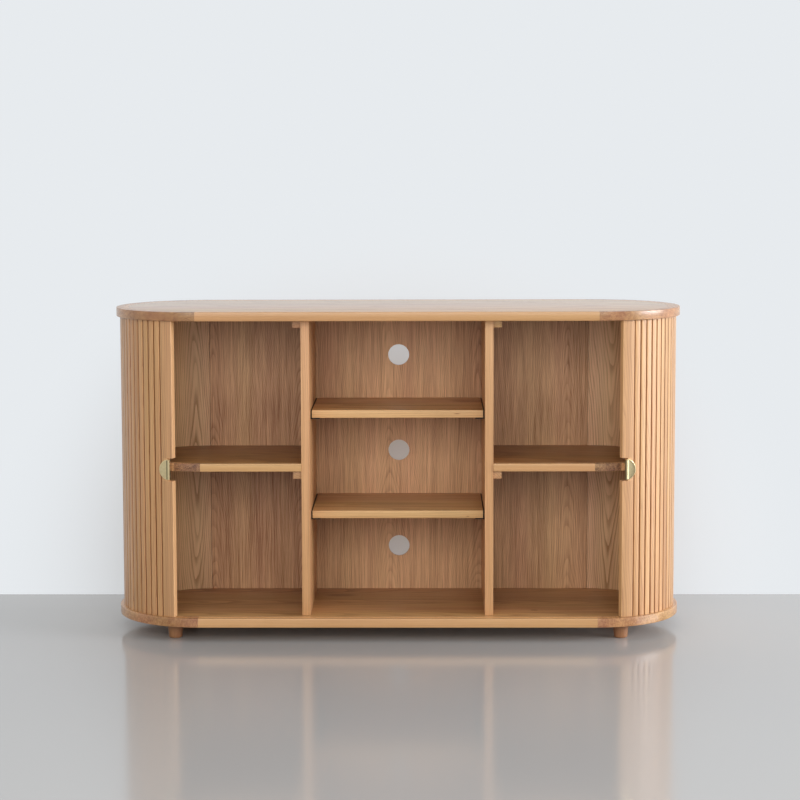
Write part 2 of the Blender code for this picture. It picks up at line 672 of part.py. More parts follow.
def make_door(side, name):
    """One tambour door: stile, slats on the arc, slats that cross the tangent, and the tail."""
    centre = (side * END_X, 0, 0)
    axis = bpy.data.objects.new(f"{name}_door_axis", None)
    axis.location = centre
    bpy.context.collection.objects.link(axis)
    make_stile(side, name, axis)
    on_arc = [slat_angle(i) for i in range(ARC_SLATS)]
    finish_moving(curtain(side, on_arc, stile_flap=True), f"{name}_curtain", centre, axis)
    for i in range(CROSSING_SLATS):
        angle = slat_angle(ARC_SLATS + i)
        distance = BEND_RADIUS * math.radians(angle - 180)
        pole = crossing_pole(side, distance)
        finish_moving(curtain(side, [angle]), f"{name}_crossing_slat_{i + 1}", pole)
    first = ARC_SLATS + CROSSING_SLATS
    on_back = [slat_angle(first + i) for i in range(TAIL_SLATS)]
    start = along_curtain(side, on_back[0])[0]
    finish_moving(curtain(side, on_back), f"{name}_curtain_tail", start)


def make_track_stop():
    """Block in the lower groove at the middle of the back, where the open doors come to rest."""
    last = slat_angle(ARC_SLATS + CROSSING_SLATS + TAIL_SLATS - 1)
    end_x = abs(along_curtain(1, last)[0].x) - SLAT_WIDTH / 2 - TOUCH
    middle_y = (GROOVE_OUTER + GROOVE_INNER) / 2
    low = (-end_x, middle_y - STOP_WIDTH / 2, FLOOR_Z - GROOVE_DEPTH + TOUCH)
    high = (end_x, middle_y + STOP_WIDTH / 2, FLOOR_Z + STOP_HEIGHT)
    add_object("track_stop", box(low, high), oak_end)


def build():
    """Make the whole sideboard."""
    for obj in list(bpy.data.objects):
        bpy.data.objects.remove(obj)
    make_board("bottom", FOOT_HEIGHT, FLOOR_Z, FOOT_HEIGHT, FLOOR_Z)
    make_board("top", CEILING_Z, HEIGHT, HEIGHT, CEILING_Z)
    make_dividers()
    make_back_and_linings()
    for side, name in ((-1, "left"), (1, "right")):
        make_side_shelf(side, name)
        make_cleats(side, name)
    make_centre_shelf("lower", LOWER_SHELF_TOP)
    make_centre_shelf("upper", UPPER_SHELF_TOP)
    make_feet()
    for side, name in ((-1, "left"), (1, "right")):
        make_door(side, name)
    make_track_stop()


build()
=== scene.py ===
"""Round-ended oak sideboard with two tambour doors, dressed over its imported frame."""

import math

import bmesh
import bpy
import numpy as np
from mathutils import Matrix, Vector


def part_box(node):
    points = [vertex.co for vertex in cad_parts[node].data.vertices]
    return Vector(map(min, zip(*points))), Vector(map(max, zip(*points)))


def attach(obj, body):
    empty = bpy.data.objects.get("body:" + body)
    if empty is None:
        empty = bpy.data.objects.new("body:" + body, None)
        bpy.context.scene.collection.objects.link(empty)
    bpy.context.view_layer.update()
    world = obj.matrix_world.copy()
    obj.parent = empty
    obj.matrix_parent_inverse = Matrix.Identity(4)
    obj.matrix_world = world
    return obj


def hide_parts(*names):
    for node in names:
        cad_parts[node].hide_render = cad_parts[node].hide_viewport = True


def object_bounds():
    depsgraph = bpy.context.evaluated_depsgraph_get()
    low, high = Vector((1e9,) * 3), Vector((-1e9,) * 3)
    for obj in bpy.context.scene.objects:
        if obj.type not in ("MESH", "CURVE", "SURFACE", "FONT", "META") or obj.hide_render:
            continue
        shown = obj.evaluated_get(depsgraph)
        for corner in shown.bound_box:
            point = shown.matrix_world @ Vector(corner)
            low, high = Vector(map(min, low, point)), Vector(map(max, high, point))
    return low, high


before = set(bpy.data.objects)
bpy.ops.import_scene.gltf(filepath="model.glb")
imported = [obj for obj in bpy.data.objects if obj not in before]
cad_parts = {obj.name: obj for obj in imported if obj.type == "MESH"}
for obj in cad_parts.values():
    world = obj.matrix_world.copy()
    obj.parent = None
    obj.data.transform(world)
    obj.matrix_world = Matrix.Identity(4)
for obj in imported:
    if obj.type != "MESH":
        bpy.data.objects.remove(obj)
cad_bounds = [list(corner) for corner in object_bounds()]

# The view of the photograph: a long lens some five metres away at chest height, tilted down by
# not quite six degrees, with a small shift down and next to no roll.
CAMERA_PLACE = (0.0663, -5.3090, 1.1903)
CAMERA_YAW = -0.01153
CAMERA_PITCH = 0.09928
CAMERA_ROLL = -0.0026
FOCAL_MM = 96.17
OPTICAL_AXIS_DROP = -0.04696

camera_data = bpy.data.cameras.new("camera")
camera_data.lens = FOCAL_MM
camera_data.sensor_width = 36.0
camera_data.shift_y = OPTICAL_AXIS_DROP
camera_data.clip_end = 100.0
camera = bpy.data.objects.new("camera", camera_data)
turn = Matrix.Rotation(-CAMERA_YAW, 4, "Z") @ Matrix.Rotation(math.pi / 2 - CAMERA_PITCH, 4, "X")
camera.matrix_world = (
    Matrix.Translation(CAMERA_PLACE) @ turn @ Matrix.Rotation(CAMERA_ROLL, 4, "Z")
)
bpy.context.scene.collection.objects.link(camera)
bpy.context.scene.camera = camera
bpy.context.scene.view_settings.view_transform = "Standard"

# The stage: a pale polished floor and a pale wall close behind, which fade into the surround
# away from the sideboard. The wall shows only from its front and lets light through, so that
# the back of the sideboard can be seen and is lit.
SURROUND = (0.800, 0.830, 0.858)
SKYLIGHT = (0.95, 0.98, 1.0)
WALL_PAINT = (0.86, 0.88, 0.90)
FLOOR_COLOUR = (0.465, 0.452, 0.441)
STAGE_REACH = 8.0
WALL_Y = 0.35


def calculated(tree, operation, *values):
    """What a math node makes of sockets and plain numbers."""
    node = tree.nodes.new("ShaderNodeMath")
    node.operation = operation
    for socket, value in zip(node.inputs, values):
        if isinstance(value, (int, float)):
            socket.default_value = value
        else:
            tree.links.new(value, socket)
    return node.outputs[0]


def ranged(tree, value, source=(0.0, 1.0), target=(0.0, 1.0), smooth=False):
    """A value carried from one range to another, and held at both ends."""
    node = tree.nodes.new("ShaderNodeMapRange")
    node.interpolation_type = "SMOOTHSTEP" if smooth else "LINEAR"
    for where, ends in (("From", source), ("To", target)):
        for end, number in zip(("Min", "Max"), ends):
            node.inputs[f"{where} {end}"].default_value = number
    tree.links.new(value, node.inputs["Value"])
    return node.outputs[0]


world = bpy.data.worlds.new("studio")
bpy.context.scene.world = world
world.use_nodes = True
sky = world.node_tree
nodes = sky.nodes
links = sky.links
nodes.clear()
seen = nodes.new("ShaderNodeBackground")
seen.inputs["Color"].default_value = (*SURROUND, 1)
lighting = nodes.new("ShaderNodeBackground")
lighting.inputs["Color"].default_value = (*SKYLIGHT, 1)
towards = nodes.new("ShaderNodeTexCoord")
sky_parts = nodes.new("ShaderNodeSeparateXYZ")
links.new(towards.outputs["Generated"], sky_parts.inputs[0])
rearward, upward = sky_parts.outputs["Y"], sky_parts.outputs["Z"]
behind = ranged(sky, rearward, (0.1, 0.5), (0.70, 1.0))
low_down = ranged(sky, upward, (0.35, 0.05))
dimmed = ranged(sky, calculated(sky, "MULTIPLY", behind, low_down), target=(0.50, 0.03))
rear = ranged(sky, rearward, (0.0, 0.6), (0.0, 0.5))
high_up = ranged(sky, upward, (0.15, 0.5))
strength = calculated(sky, "MULTIPLY_ADD", rear, high_up, dimmed)
links.new(strength, lighting.inputs["Strength"])
rays = nodes.new("ShaderNodeLightPath").outputs
shown = calculated(sky, "MAXIMUM", rays["Is Camera Ray"], rays["Is Transmission Ray"])
shown = calculated(sky, "MAXIMUM", shown, rays["Is Glossy Ray"])
either = nodes.new("ShaderNodeMixShader")
links.new(shown, either.inputs[0])
links.new(lighting.outputs[0], either.inputs[1])
links.new(seen.outputs[0], either.inputs[2])
output = nodes.new("ShaderNodeOutputWorld")
links.new(either.outputs[0], output.inputs[0])


def new_finish(name, settings):
    """A material, its node tree, and its shader with the given plain values."""
    material = bpy.data.materials.new(name)
    material.use_nodes = True
    shader = material.node_tree.nodes["Principled BSDF"]
    for socket, value in settings.items():
        shader.inputs[socket].default_value = value
    return material, material.node_tree, shader


def fading_paint(name, colour, roughness, gloss, squeeze, start, end, least):
    """A paint that gives way to the surround's own light over a stretched distance from the
    object: the length of its place times the squeeze, from the start to the end."""
    material, tree, paint = new_finish(
        name, {"Base Color": (*colour, 1), "Roughness": roughness, "Specular IOR Level": gloss}
    )
    made = tree.nodes
    wires = tree.links
    place = made.new("ShaderNodeTexCoord")
    squeezed = made.new("ShaderNodeMapping")
    squeezed.inputs["Scale"].default_value = squeeze
    wires.new(place.outputs["Object"], squeezed.inputs["Vector"])
    away = made.new("ShaderNodeVectorMath")
    away.operation = "LENGTH"
    wires.new(squeezed.outputs[0], away.inputs[0])
    fade = ranged(tree, away.outputs["Value"], (start, end), (least, 1.0), smooth=True)
    glow = made.new("ShaderNodeEmission")
    glow.inputs["Color"].default_value = (*SURROUND, 1)
    mixed = made.new("ShaderNodeMixShader")
    wires.new(fade, mixed.inputs[0])
    wires.new(paint.outputs[0], mixed.inputs[1])
    wires.new(glow.outputs[0], mixed.inputs[2])
    wires.new(mixed.outputs[0], made["Material Output"].inputs["Surface"])
    return material, mixed


def stage_sheet(name, corners, material):
    """A flat sheet of the stage, from four corners."""
    mesh = bpy.data.meshes.new(name)
    mesh.from_pydata(corners, [], [(0, 1, 2, 3)])
    mesh.materials.append(material)
    sheet = bpy.data.objects.new(name, mesh)
    bpy.context.scene.collection.objects.link(sheet)
    return sheet


floor_paint, _ = fading_paint(
    "polished_floor", FLOOR_COLOUR, roughness=0.13, gloss=0.6,
    squeeze=(0.3, 0.3, 1.0), start=1.0, end=1.6, least=0.0,
)
near, far = -STAGE_REACH, STAGE_REACH
stage_sheet("floor", [(near, near, 0), (far, near, 0), (far, far, 0), (near, far, 0)], floor_paint)
wall_paint, front_face = fading_paint(
    "wall_paint", WALL_PAINT, roughness=0.9, gloss=0.2,
    squeeze=(0.8, 0.0, 0.85), start=0.35, end=0.90, least=0.13,
)
nodes = wall_paint.node_tree.nodes
links = wall_paint.node_tree.links
which_side = nodes.new("ShaderNodeNewGeometry")
clear = nodes.new("ShaderNodeBsdfTransparent")
one_sided = nodes.new("ShaderNodeMixShader")
links.new(which_side.outputs["Backfacing"], one_sided.inputs[0])
links.new(front_face.outputs[0], one_sided.inputs[1])
links.new(clear.outputs[0], one_sided.inputs[2])
links.new(one_sided.outputs[0], nodes["Material Output"].inputs["Surface"])
wall = stage_sheet(
    "wall", [(near, WALL_Y, 0), (far, WALL_Y, 0), (far, WALL_Y, far), (near, WALL_Y, far)], wall_paint
)
wall.visible_diffuse = False
wall.visible_shadow = False


def add_lamp(name, place, target, size, power, colour):
    """A square soft box at a place, turned to face a target."""
    data = bpy.data.lights.new(name, "AREA")
    data.shape = "RECTANGLE"
    data.size, data.size_y = size
    data.energy = power
    data.color = colour
    lamp = bpy.data.objects.new(name, data)
    facing = (Vector(target) - Vector(place)).to_track_quat("-Z", "Y")
    lamp.matrix_world = Matrix.Translation(place) @ facing.to_matrix().to_4x4()
    bpy.context.scene.collection.objects.link(lamp)


add_lamp("window_front", (-0.2, -5.4, 2.2), (0, 0, 0.4), (5.0, 2.4), 138, (1.0, 0.977, 0.935))
add_lamp("window_right", (7.0, -1.3, 2.0), (0.3, 0, 0.4), (4.4, 2.4), 545, (0.89, 0.935, 1.0))

# Top and bottom boards: an oak-veneered panel with lippings of solid oak, straight at front
# and back and a half ring at each end, whose grain runs from front to back. The curtain's
# groove is routed in the inner face of the lippings.
LENGTH = cad_bounds[1][0] - cad_bounds[0][0]
DEPTH = cad_bounds[1][1] - cad_bounds[0][1]
END_RADIUS = DEPTH / 2
END_X = LENGTH / 2 - END_RADIUS
TOP_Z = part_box("top_panel")[1].z
CEILING_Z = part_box("top_panel")[0].z
FLOOR_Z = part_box("bottom_panel")[1].z
UNDERSIDE_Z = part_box("bottom_panel")[0].z
PANEL_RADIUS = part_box("top_panel")[1].y
SEAM = 0.0003
BOARD_ARRIS = 0.0014
VENEER_ARRIS = 0.0002
MERGE_DISTANCE = 2e-6
SHARP_ANGLE = 32
GROOVE_RADII = (0.1957, 0.2043)
GROOVE_DEPTH = 0.009
RING_STEPS = 72
END_GRAIN_SHADE = 0.32
INNER_FACE_LIGHT = -0.35
KNOT_SHADE = 1.3
draw = np.random.default_rng(7)


def noise(tree, vector, scale, detail=2.0, rough=0.5):
    """Noise at a place, from 0 to 1."""
    node = tree.nodes.new("ShaderNodeTexNoise")
    node.inputs["Scale"].default_value = scale
    node.inputs["Detail"].default_value = detail
    node.inputs["Roughness"].default_value = rough
    tree.links.new(vector, node.inputs["Vector"])
    return node.outputs["Fac"]


def oak_figure_group():
    """Oak seen through rings about a pith line, from a place given as across, depth and along.

    The ring number is the distance from the pith, plus a taper along the grain and a slow
    wobble, over the ring spacing. Its fraction gives the dark porous wood that starts each
    ring. Streaks, fine fibres, open pores and slow changes of tone and hue come on top, and
    the piece's shade, which carries end grain and tone and also painted light and shade. A
    veneer is laid in leaves, each with its pith near its middle.
    """
    group = bpy.data.node_groups.new("oak_figure", "ShaderNodeTree")
    face = group.interface
    face.new_socket("Place", in_out="INPUT", socket_type="NodeSocketVector")
    for name, value in (
        ("Shade", 0.0),
        ("Pith Depth", 0.07),
        ("Ring Spacing", 0.0042),
        ("Taper", 0.028),
        ("Wobble", 0.030),
        ("Leaf Width", 50.0),
        ("Pith Shift", 0.05),
        ("Ring Contrast", 0.5),
        ("Streak Contrast", 0.30),
        ("Fibre Contrast", 0.3),
        ("Tone Change", 0.3),
        ("Hue Change", 0.6),
    ):
        socket = face.new_socket(name, in_out="INPUT", socket_type="NodeSocketFloat")
        socket.default_value = value
    for name in ("Light", "Dark"):
        face.new_socket(name, in_out="INPUT", socket_type="NodeSocketColor")
    face.new_socket("Color", in_out="OUTPUT", socket_type="NodeSocketColor")
    face.new_socket("Roughness", in_out="OUTPUT", socket_type="NodeSocketFloat")
    face.new_socket("Height", in_out="OUTPUT", socket_type="NodeSocketFloat")
    made = group.nodes
    wires = group.links
    given = made.new("NodeGroupInput").outputs

    def maths(operation, *values):
        return calculated(group, operation, *values)

    def ramped(value, low, high, start=0.0, end=1.0):
        return ranged(group, value, (low, high), (start, end), smooth=True)

    parts = made.new("ShaderNodeSeparateXYZ")
    wires.new(given["Place"], parts.inputs[0])
    across, depth, along = parts.outputs
    leaf = maths("ROUND", maths("DIVIDE", across, given["Leaf Width"]))
    lottery = made.new("ShaderNodeTexWhiteNoise")
    lottery.noise_dimensions = "1D"
    wires.new(maths("ADD", leaf, 0.37), lottery.inputs["W"])
    pick = lottery.outputs["Value"]
    middle = maths("MULTIPLY", leaf, given["Leaf Width"])
    own_across = maths("SUBTRACT", across, middle)
    shifted_along = maths("ADD", along, maths("MULTIPLY", pick, 5.0))
    shift = maths("MULTIPLY", maths("SUBTRACT", pick, 0.5), given["Pith Shift"])
    sideways = maths("ADD", own_across, shift)

    def stretched(crosswise, lengthwise, detail, rough=0.5, lengths=shifted_along):
        """Noise that changes faster across the grain than along it."""
        node = made.new("ShaderNodeCombineXYZ")
        rates = ((across, crosswise), (depth, crosswise), (lengths, lengthwise))
        for socket, (value, rate) in zip(node.inputs, rates):
            wires.new(maths("MULTIPLY", value, rate), socket)
        return noise(group, node.outputs[0], 1.0, detail, rough)

    wobble = stretched(9.0, 2.1, 2.0)
    waver = stretched(60.0, 7.0, 1.0)
    below = maths("POWER", maths("ADD", depth, given["Pith Depth"]), 2.0)
    radius = maths("SQRT", maths("ADD", maths("POWER", sideways, 2.0), below))
    for part, size in (
        (shifted_along, given["Taper"]),
        (wobble, given["Wobble"]),
        (waver, maths("MULTIPLY", given["Wobble"], 0.12)),
    ):
        radius = maths("ADD", radius, maths("MULTIPLY", part, size))
    rings = maths("DIVIDE", radius, given["Ring Spacing"])
    ring = maths("FRACT", rings)
    early = maths("SUBTRACT", 1.0, ramped(ring, 0.05, 0.62))
    early = maths("MULTIPLY", early, ramped(ring, 0.0, 0.05))
    ring_number = made.new("ShaderNodeCombineXYZ")
    wires.new(maths("FLOOR", rings), ring_number.inputs["X"])
    ring_number.inputs["Y"].default_value = 0.5
    ring_number.inputs["Z"].default_value = 0.5
    year = noise(group, ring_number.outputs[0], 3.7, 0.0)
    early = maths("MULTIPLY", early, ramped(year, 0.3, 0.7, 0.45, 1.0))

    fibre = stretched(520.0, 9.0, 3.0, 0.65, along)
    streak = stretched(150.0, 2.2, 2.0, 0.6)
    pore = stretched(2100.0, 130.0, 1.0, 0.5, along)
    pores = maths("MULTIPLY", ramped(pore, 0.60, 0.70), ramped(early, 0.0, 1.0, 0.25, 1.0))
    tone = stretched(26.0, 1.6, 2.0)
    darkness = maths("MULTIPLY", early, given["Ring Contrast"])
    for mark, contrast in (
        (ramped(fibre, 0.3, 0.72), given["Fibre Contrast"]),
        (ramped(streak, 0.3, 0.7), given["Streak Contrast"]),
        (ramped(tone, 0.32, 0.7), given["Tone Change"]),
        (pores, 0.28),
    ):
        darkness = maths("ADD", darkness, maths("MULTIPLY", mark, contrast))
    darkness = maths("MINIMUM", maths("ADD", darkness, given["Shade"]), 1.4)
    colour = made.new("ShaderNodeMix")
    colour.data_type = "RGBA"
    colour.clamp_factor = False
    wires.new(darkness, colour.inputs["Factor"])
    wires.new(given["Light"], colour.inputs["A"])
    wires.new(given["Dark"], colour.inputs["B"])
    warmth = stretched(14.0, 0.9, 1.0)
    hue_range = maths("MULTIPLY", given["Hue Change"], 0.06)
    turn = maths("MULTIPLY", maths("SUBTRACT", warmth, 0.5), hue_range)
    tinted = made.new("ShaderNodeHueSaturation")
    wires.new(maths("ADD", turn, 0.5), tinted.inputs["Hue"])
    wires.new(colour.outputs["Result"], tinted.inputs["Color"])
    shine = maths("ADD", maths("MULTIPLY", pores, 0.15), ramped(fibre, 0.2, 0.8, 0.40, 0.52))
    hollows = maths("ADD", pores, maths("MULTIPLY", early, 0.25))
    height = maths("SUBTRACT", maths("MULTIPLY", fibre, 0.35), hollows)
    result = made.new("NodeGroupOutput").inputs
    wires.new(tinted.outputs["Color"], result["Color"])
    wires.new(shine, result["Roughness"])
    wires.new(height, result["Height"])
    return group


oak_figure = oak_figure_group()


def carried(tree, name, output):
    """What a mesh carries for its material: the grain's place, or the shade."""
    node = tree.nodes.new("ShaderNodeAttribute")
    node.attribute_name = name
    return node.outputs[output]


def add_relief(tree, height, strength, distance, shader):
    """Bumps that follow a height."""
    bumps = tree.nodes.new("ShaderNodeBump")
    bumps.inputs["Strength"].default_value = strength
    bumps.inputs["Distance"].default_value = distance
    tree.links.new(height, bumps.inputs["Height"])
    tree.links.new(bumps.outputs["Normal"], shader.inputs["Normal"])


def oak(name, light, dark, coat=0.12, coat_roughness=0.25, attribute=True, spots=(), **settings):
    """Lacquered oak. The figure reads the piece's own grain attribute, or its object's axes.
    A spot is a place, three radii and how much darker the wood is in its middle: a knot, or
    with less than nothing a paler patch. Broad spots on the back are painted light and shade."""
    material, tree, shader = new_finish(
        name, {"Specular IOR Level": 0.42, "Coat Weight": coat, "Coat Roughness": coat_roughness}
    )
    made = tree.nodes
    wires = tree.links
    figure = made.new("ShaderNodeGroup")
    figure.node_tree = oak_figure
    where = made.new("ShaderNodeTexCoord")
    grain = carried(tree, "grain", "Vector")
    wires.new(grain if attribute else where.outputs["Object"], figure.inputs["Place"])
    shading = carried(tree, "shade", "Fac")
    for place, radii, strength in spots:
        near = made.new("ShaderNodeMapping")
        near.vector_type = "TEXTURE"
        near.inputs["Location"].default_value = place
        near.inputs["Scale"].default_value = radii
        wires.new(where.outputs["Object"], near.inputs["Vector"])
        away = made.new("ShaderNodeVectorMath")
        away.operation = "LENGTH"
        wires.new(near.outputs[0], away.inputs[0])
        spot = ranged(tree, away.outputs["Value"], target=(strength, 0.0), smooth=True)
        shading = calculated(tree, "ADD", shading, spot)
    wires.new(shading, figure.inputs["Shade"])
    figure.inputs["Light"].default_value = (*light, 1)
    figure.inputs["Dark"].default_value = (*dark, 1)
    for socket, value in settings.items():
        figure.inputs[socket.replace("_", " ").title()].default_value = value
    add_relief(tree, figure.outputs["Height"], 0.12, 0.0004, shader)
    wires.new(figure.outputs["Color"], shader.inputs["Base Color"])
    wires.new(figure.outputs["Roughness"], shader.inputs["Roughness"])
    return material


def put_mesh(name, points, faces, grain, shade, material, body, stands_for=()):
    """A mesh from whole arrays, with its grain attributes, riding on a body."""
    mesh = bpy.data.meshes.new(name)
    mesh.from_pydata(points.tolist(), [], faces)
    attribute = mesh.attributes.new("grain", "FLOAT_VECTOR", "POINT")
    attribute.data.foreach_set("vector", np.ascontiguousarray(grain, np.float32).ravel())
    attribute = mesh.attributes.new("shade", "FLOAT", "POINT")
    attribute.data.foreach_set("value", np.ascontiguousarray(shade, np.float32).ravel())
    work = bmesh.new()
    work.from_mesh(mesh)
    bmesh.ops.remove_doubles(work, verts=work.verts, dist=MERGE_DISTANCE)
    bmesh.ops.recalc_face_normals(work, faces=work.faces)
    work.to_mesh(mesh)
    work.free()
    mesh.shade_smooth()
    mesh.set_sharp_from_angle(angle=math.radians(SHARP_ANGLE))
    mesh.materials.append(material)
    piece = bpy.data.objects.new(name, mesh)
    bpy.context.scene.collection.objects.link(piece)
    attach(piece, body)
    if stands_for:
        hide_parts(*stands_for)
    return piece


def skin(rows, columns, first=0, closed_columns=True):
    """Faces of a grid of rows by columns, with an n-gon over the first row and the last."""
    across = np.arange(columns if closed_columns else columns - 1)
    base = first + np.arange(rows - 1)[:, None] * columns
    near = base + across
    far = base + (across + 1) % columns
    quads = np.stack([near, far, far + columns, near + columns], -1).reshape(-1, 4).tolist()
    top = first + (rows - 1) * columns
    return quads + [list(range(first, first + columns)), list(range(top, top + columns))[::-1]]


def raised(plan, height):
    """Points from plan places, in a grid of any number of axes, and their heights."""
    up = np.broadcast_to(height, plan.shape[:-1])[..., None]
    return np.concatenate([plan, up], -1).reshape(-1, 3)


def rounded_edge(low, high, radius, steps=4):
    """Inset and height up a board's edge: a quarter circle, a flat, and a quarter circle."""
    angle = np.linspace(0, math.pi / 2, steps)
    inset = radius * (1 - np.sin(angle))
    rise = radius * (1 - np.cos(angle))
    return np.concatenate([inset, inset[::-1]]), np.concatenate([low + rise, (high - rise)[::-1]])


def board(
    name, outline, low, high, arris, grain, material, body, stands_for=(), edge_painted_shade=0.0
):
    """A board from its plan. Each outline point moves in along its mitre by the edge's inset.

    The grain function takes the points to across, depth and along, and to their shade. The
    edges all round can get a painted shade of their own; below nothing it is painted light.
    """
    before = outline - np.roll(outline, 1, 0)
    after = np.roll(outline, -1, 0) - outline
    before /= np.linalg.norm(before, axis=1)[:, None]
    after /= np.linalg.norm(after, axis=1)[:, None]
    normal = np.stack([before[:, 1] + after[:, 1], -before[:, 0] - after[:, 0]], 1)
    mitre = normal / (1 + (before * after).sum(1))[:, None]
    inset, height = rounded_edge(low, high, arris)
    rows = len(inset)
    plan = outline[None] - mitre[None] * inset[:, None, None]
    points = raised(plan, height[:, None])
    facing = np.tile(normal / np.linalg.norm(normal, axis=1)[:, None], (rows, 1))
    place, shade = grain(points, facing)
    shade = shade + edge_painted_shade * np.repeat(inset < arris, len(outline))
    faces = skin(rows, len(outline))
    return put_mesh(name, points, faces, place, shade, material, body, stands_for)


def rectangle(low, high):
    """Plan of a rectangle, counter-clockwise."""
    left, front, right, rear = low[0], low[1], high[0], high[1]
    return np.array([(left, front), (right, front), (right, rear), (left, rear)], float)


def half_circle(radius, side, start=0.0, end=180.0, steps=RING_STEPS):
    """Plan points on a round end, from the front (0 degrees) round to the back (180)."""
    angle = np.radians(np.linspace(start, end, steps + 1))
    return np.stack([side * (END_X + radius * np.sin(angle)), -radius * np.cos(angle)], 1)


def grain_along_x(seed):
    """Grain along the length: across is Y, depth is Z, and the darker end grain faces left
    and right."""

    def place(points, facing):
        shift = seed * np.array([0.0, 0.013, 0.731])
        along = np.stack([points[:, 1], points[:, 2], points[:, 0]], 1) + shift
        return along, END_GRAIN_SHADE * facing[:, 0] ** 2

    return place


def grain_along_y(seed):
    """Grain from front to back: the darker end grain faces the front and the back."""

    def place(points, facing):
        shift = seed * np.array([0.061, 0.011, 0.693])
        along = np.stack([points[:, 0], points[:, 2], points[:, 1]], 1) + shift
        return along, END_GRAIN_SHADE * facing[:, 1] ** 2

    return place


def lipping_section(flat_z, inner_z):
    """Radius and height round a lipping: rounded outer arrises, and the groove inside."""
    inward = 1 if inner_z > flat_z else -1
    angle = np.linspace(0, math.pi / 2, 4)
    outer = END_RADIUS - BOARD_ARRIS * (1 - np.sin(angle))
    rise = BOARD_ARRIS * (1 - np.cos(angle))
    inner = PANEL_RADIUS + SEAM
    floor_z = inner_z - inward * GROOVE_DEPTH
    radius = np.concatenate([
        [inner], outer, outer[::-1],
        [GROOVE_RADII[1], GROOVE_RADII[1], GROOVE_RADII[0], GROOVE_RADII[0], inner],
    ])
    height = np.concatenate([
        [flat_z], flat_z + inward * rise, inner_z - inward * rise[::-1],
        [inner_z, floor_z, floor_z, inner_z, inner_z],
    ])
    return radius, height


def lipping(name, section, stations, outward, grain, material, stands_for):
    """The section carried along stations: each point is the station plus outward times radius.
    The faces away from the rounded edge are painted a little lighter: painted light on the lipping's
    inner face and groove."""
    radius, height = section
    plan = stations[:, None] + outward[:, None] * radius[None, :, None]
    points = raised(plan, height)
    facing = np.repeat(outward, len(radius), 0)
    place, shade = grain(points, facing)
    shade = shade + np.tile(INNER_FACE_LIGHT * (radius < END_RADIUS - BOARD_ARRIS), len(stations))
    faces = skin(len(stations), len(radius))
    return put_mesh(name, points, faces, place, shade, material, "carcass", stands_for)


oak_panels = {
    "top": oak(
        "oak_top_veneer", (0.700, 0.415, 0.185), (0.470, 0.248, 0.098), coat=1.0, leaf_width=0.142,
        wobble=0.012, taper=0.020, ring_contrast=0.4, fibre_contrast=0.45,
    ),
    "bottom": oak(
        "oak_floor_veneer", (0.610, 0.330, 0.135), (0.350, 0.168, 0.060), leaf_width=0.142,
        wobble=0.014, spots=(
            ((-0.148, 0.0625, FLOOR_Z), (0.050, 0.020, 0.020), KNOT_SHADE),
            ((0.336, -0.115, FLOOR_Z), (0.014, 0.008, 0.020), KNOT_SHADE),
        ),
    ),
}
# The bottom straight lippings are a lighter copy of the top's: painted light on the bottom edge.
oak_edges = {
    name: oak(
        f"oak_{name}_straight_lipping", light, dark, coat=0.8, ring_spacing=0.0032, wobble=0.005,
        taper=0.002, tone_change=0.2, hue_change=0.4,
    )
    for name, light, dark in (
        ("top", (0.620, 0.328, 0.128), (0.455, 0.214, 0.070)),
        ("bottom", (0.676, 0.360, 0.152), (0.496, 0.235, 0.083)),
    )
}
# The bottom end lippings are a lighter copy of the top's: painted light on the bottom edge.
oak_end_edges = {
    name: oak(
        f"oak_{name}_end_lipping", light, dark, coat=0.8, ring_spacing=0.0030, fibre_contrast=0.45,
    )
    for name, light, dark in (
        ("top", (0.700, 0.370, 0.150), (0.330, 0.143, 0.050)),
        ("bottom", (0.760, 0.410, 0.170), (0.375, 0.168, 0.061)),
    )
}

for name, flat_z, inner_z in (("top", TOP_Z, CEILING_Z), ("bottom", UNDERSIDE_Z, FLOOR_Z)):
    right = half_circle(PANEL_RADIUS, 1)
    left = half_circle(PANEL_RADIUS, -1)[::-1]
    low, high = sorted((flat_z, inner_z))
    board(
        f"{name}_board_veneer", np.concatenate([right, left]), low, high, VENEER_ARRIS,
        grain_along_x(draw.uniform()), oak_panels[name], "carcass", (f"{name}_panel",),
    )
    section = lipping_section(flat_z, inner_z)
    for where, towards in (("front", -1.0), ("rear", 1.0)):
        x = np.linspace(-END_X + SEAM / 2, END_X - SEAM / 2, 25)
        stations = np.stack([x, 0 * x], 1)
        outward = np.stack([0 * x, 0 * x + towards], 1)
        lipping(
            f"{name}_{where}_edge", section, stations, outward, grain_along_x(draw.uniform()),
            oak_edges[name], (f"{name}_{where}_lipping",),
        )
    for hand, side in (("left", -1), ("right", 1)):
        outward = half_circle(1.0, side, 0.045, 179.955) - [side * END_X, 0]
        stations = np.tile([side * END_X, 0.0], (len(outward), 1))
        lipping(
            f"{name}_{hand}_edge", section, stations, outward, grain_along_y(draw.uniform()),
            oak_end_edges[name], (f"{name}_{hand}_lipping",),
        )

# Dividers: two upright boards of oak, glued to both boards, with a small arris on the front
# edge and the grain running up.
DIVIDER_ARRIS = 0.0007


def grain_upright(seed, sideways):
    """Grain upright: across is X, or Y on a board that faces sideways."""

    def place(points, facing):
        shift = seed * np.array([0.173, 0.017, 0.811])
        flat = points[:, [1, 0]] if sideways else points[:, [0, 1]]
        along = np.concatenate([flat, points[:, 2:]], 1) + shift
        return along, 0 * points[:, 0]

    return place


oak_divider = oak("oak_divider", (0.749, 0.420, 0.192), (0.476, 0.236, 0.095), leaf_width=0.11)
for hand in ("left", "right"):
    low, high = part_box(f"{hand}_divider")
    board(
        f"{hand}_divider_board", rectangle(low, high), low.z, high.z, DIVIDER_ARRIS,
        grain_upright(draw.uniform(), sideways=True), oak_divider, "carcass",
        (f"{hand}_divider",),
    )

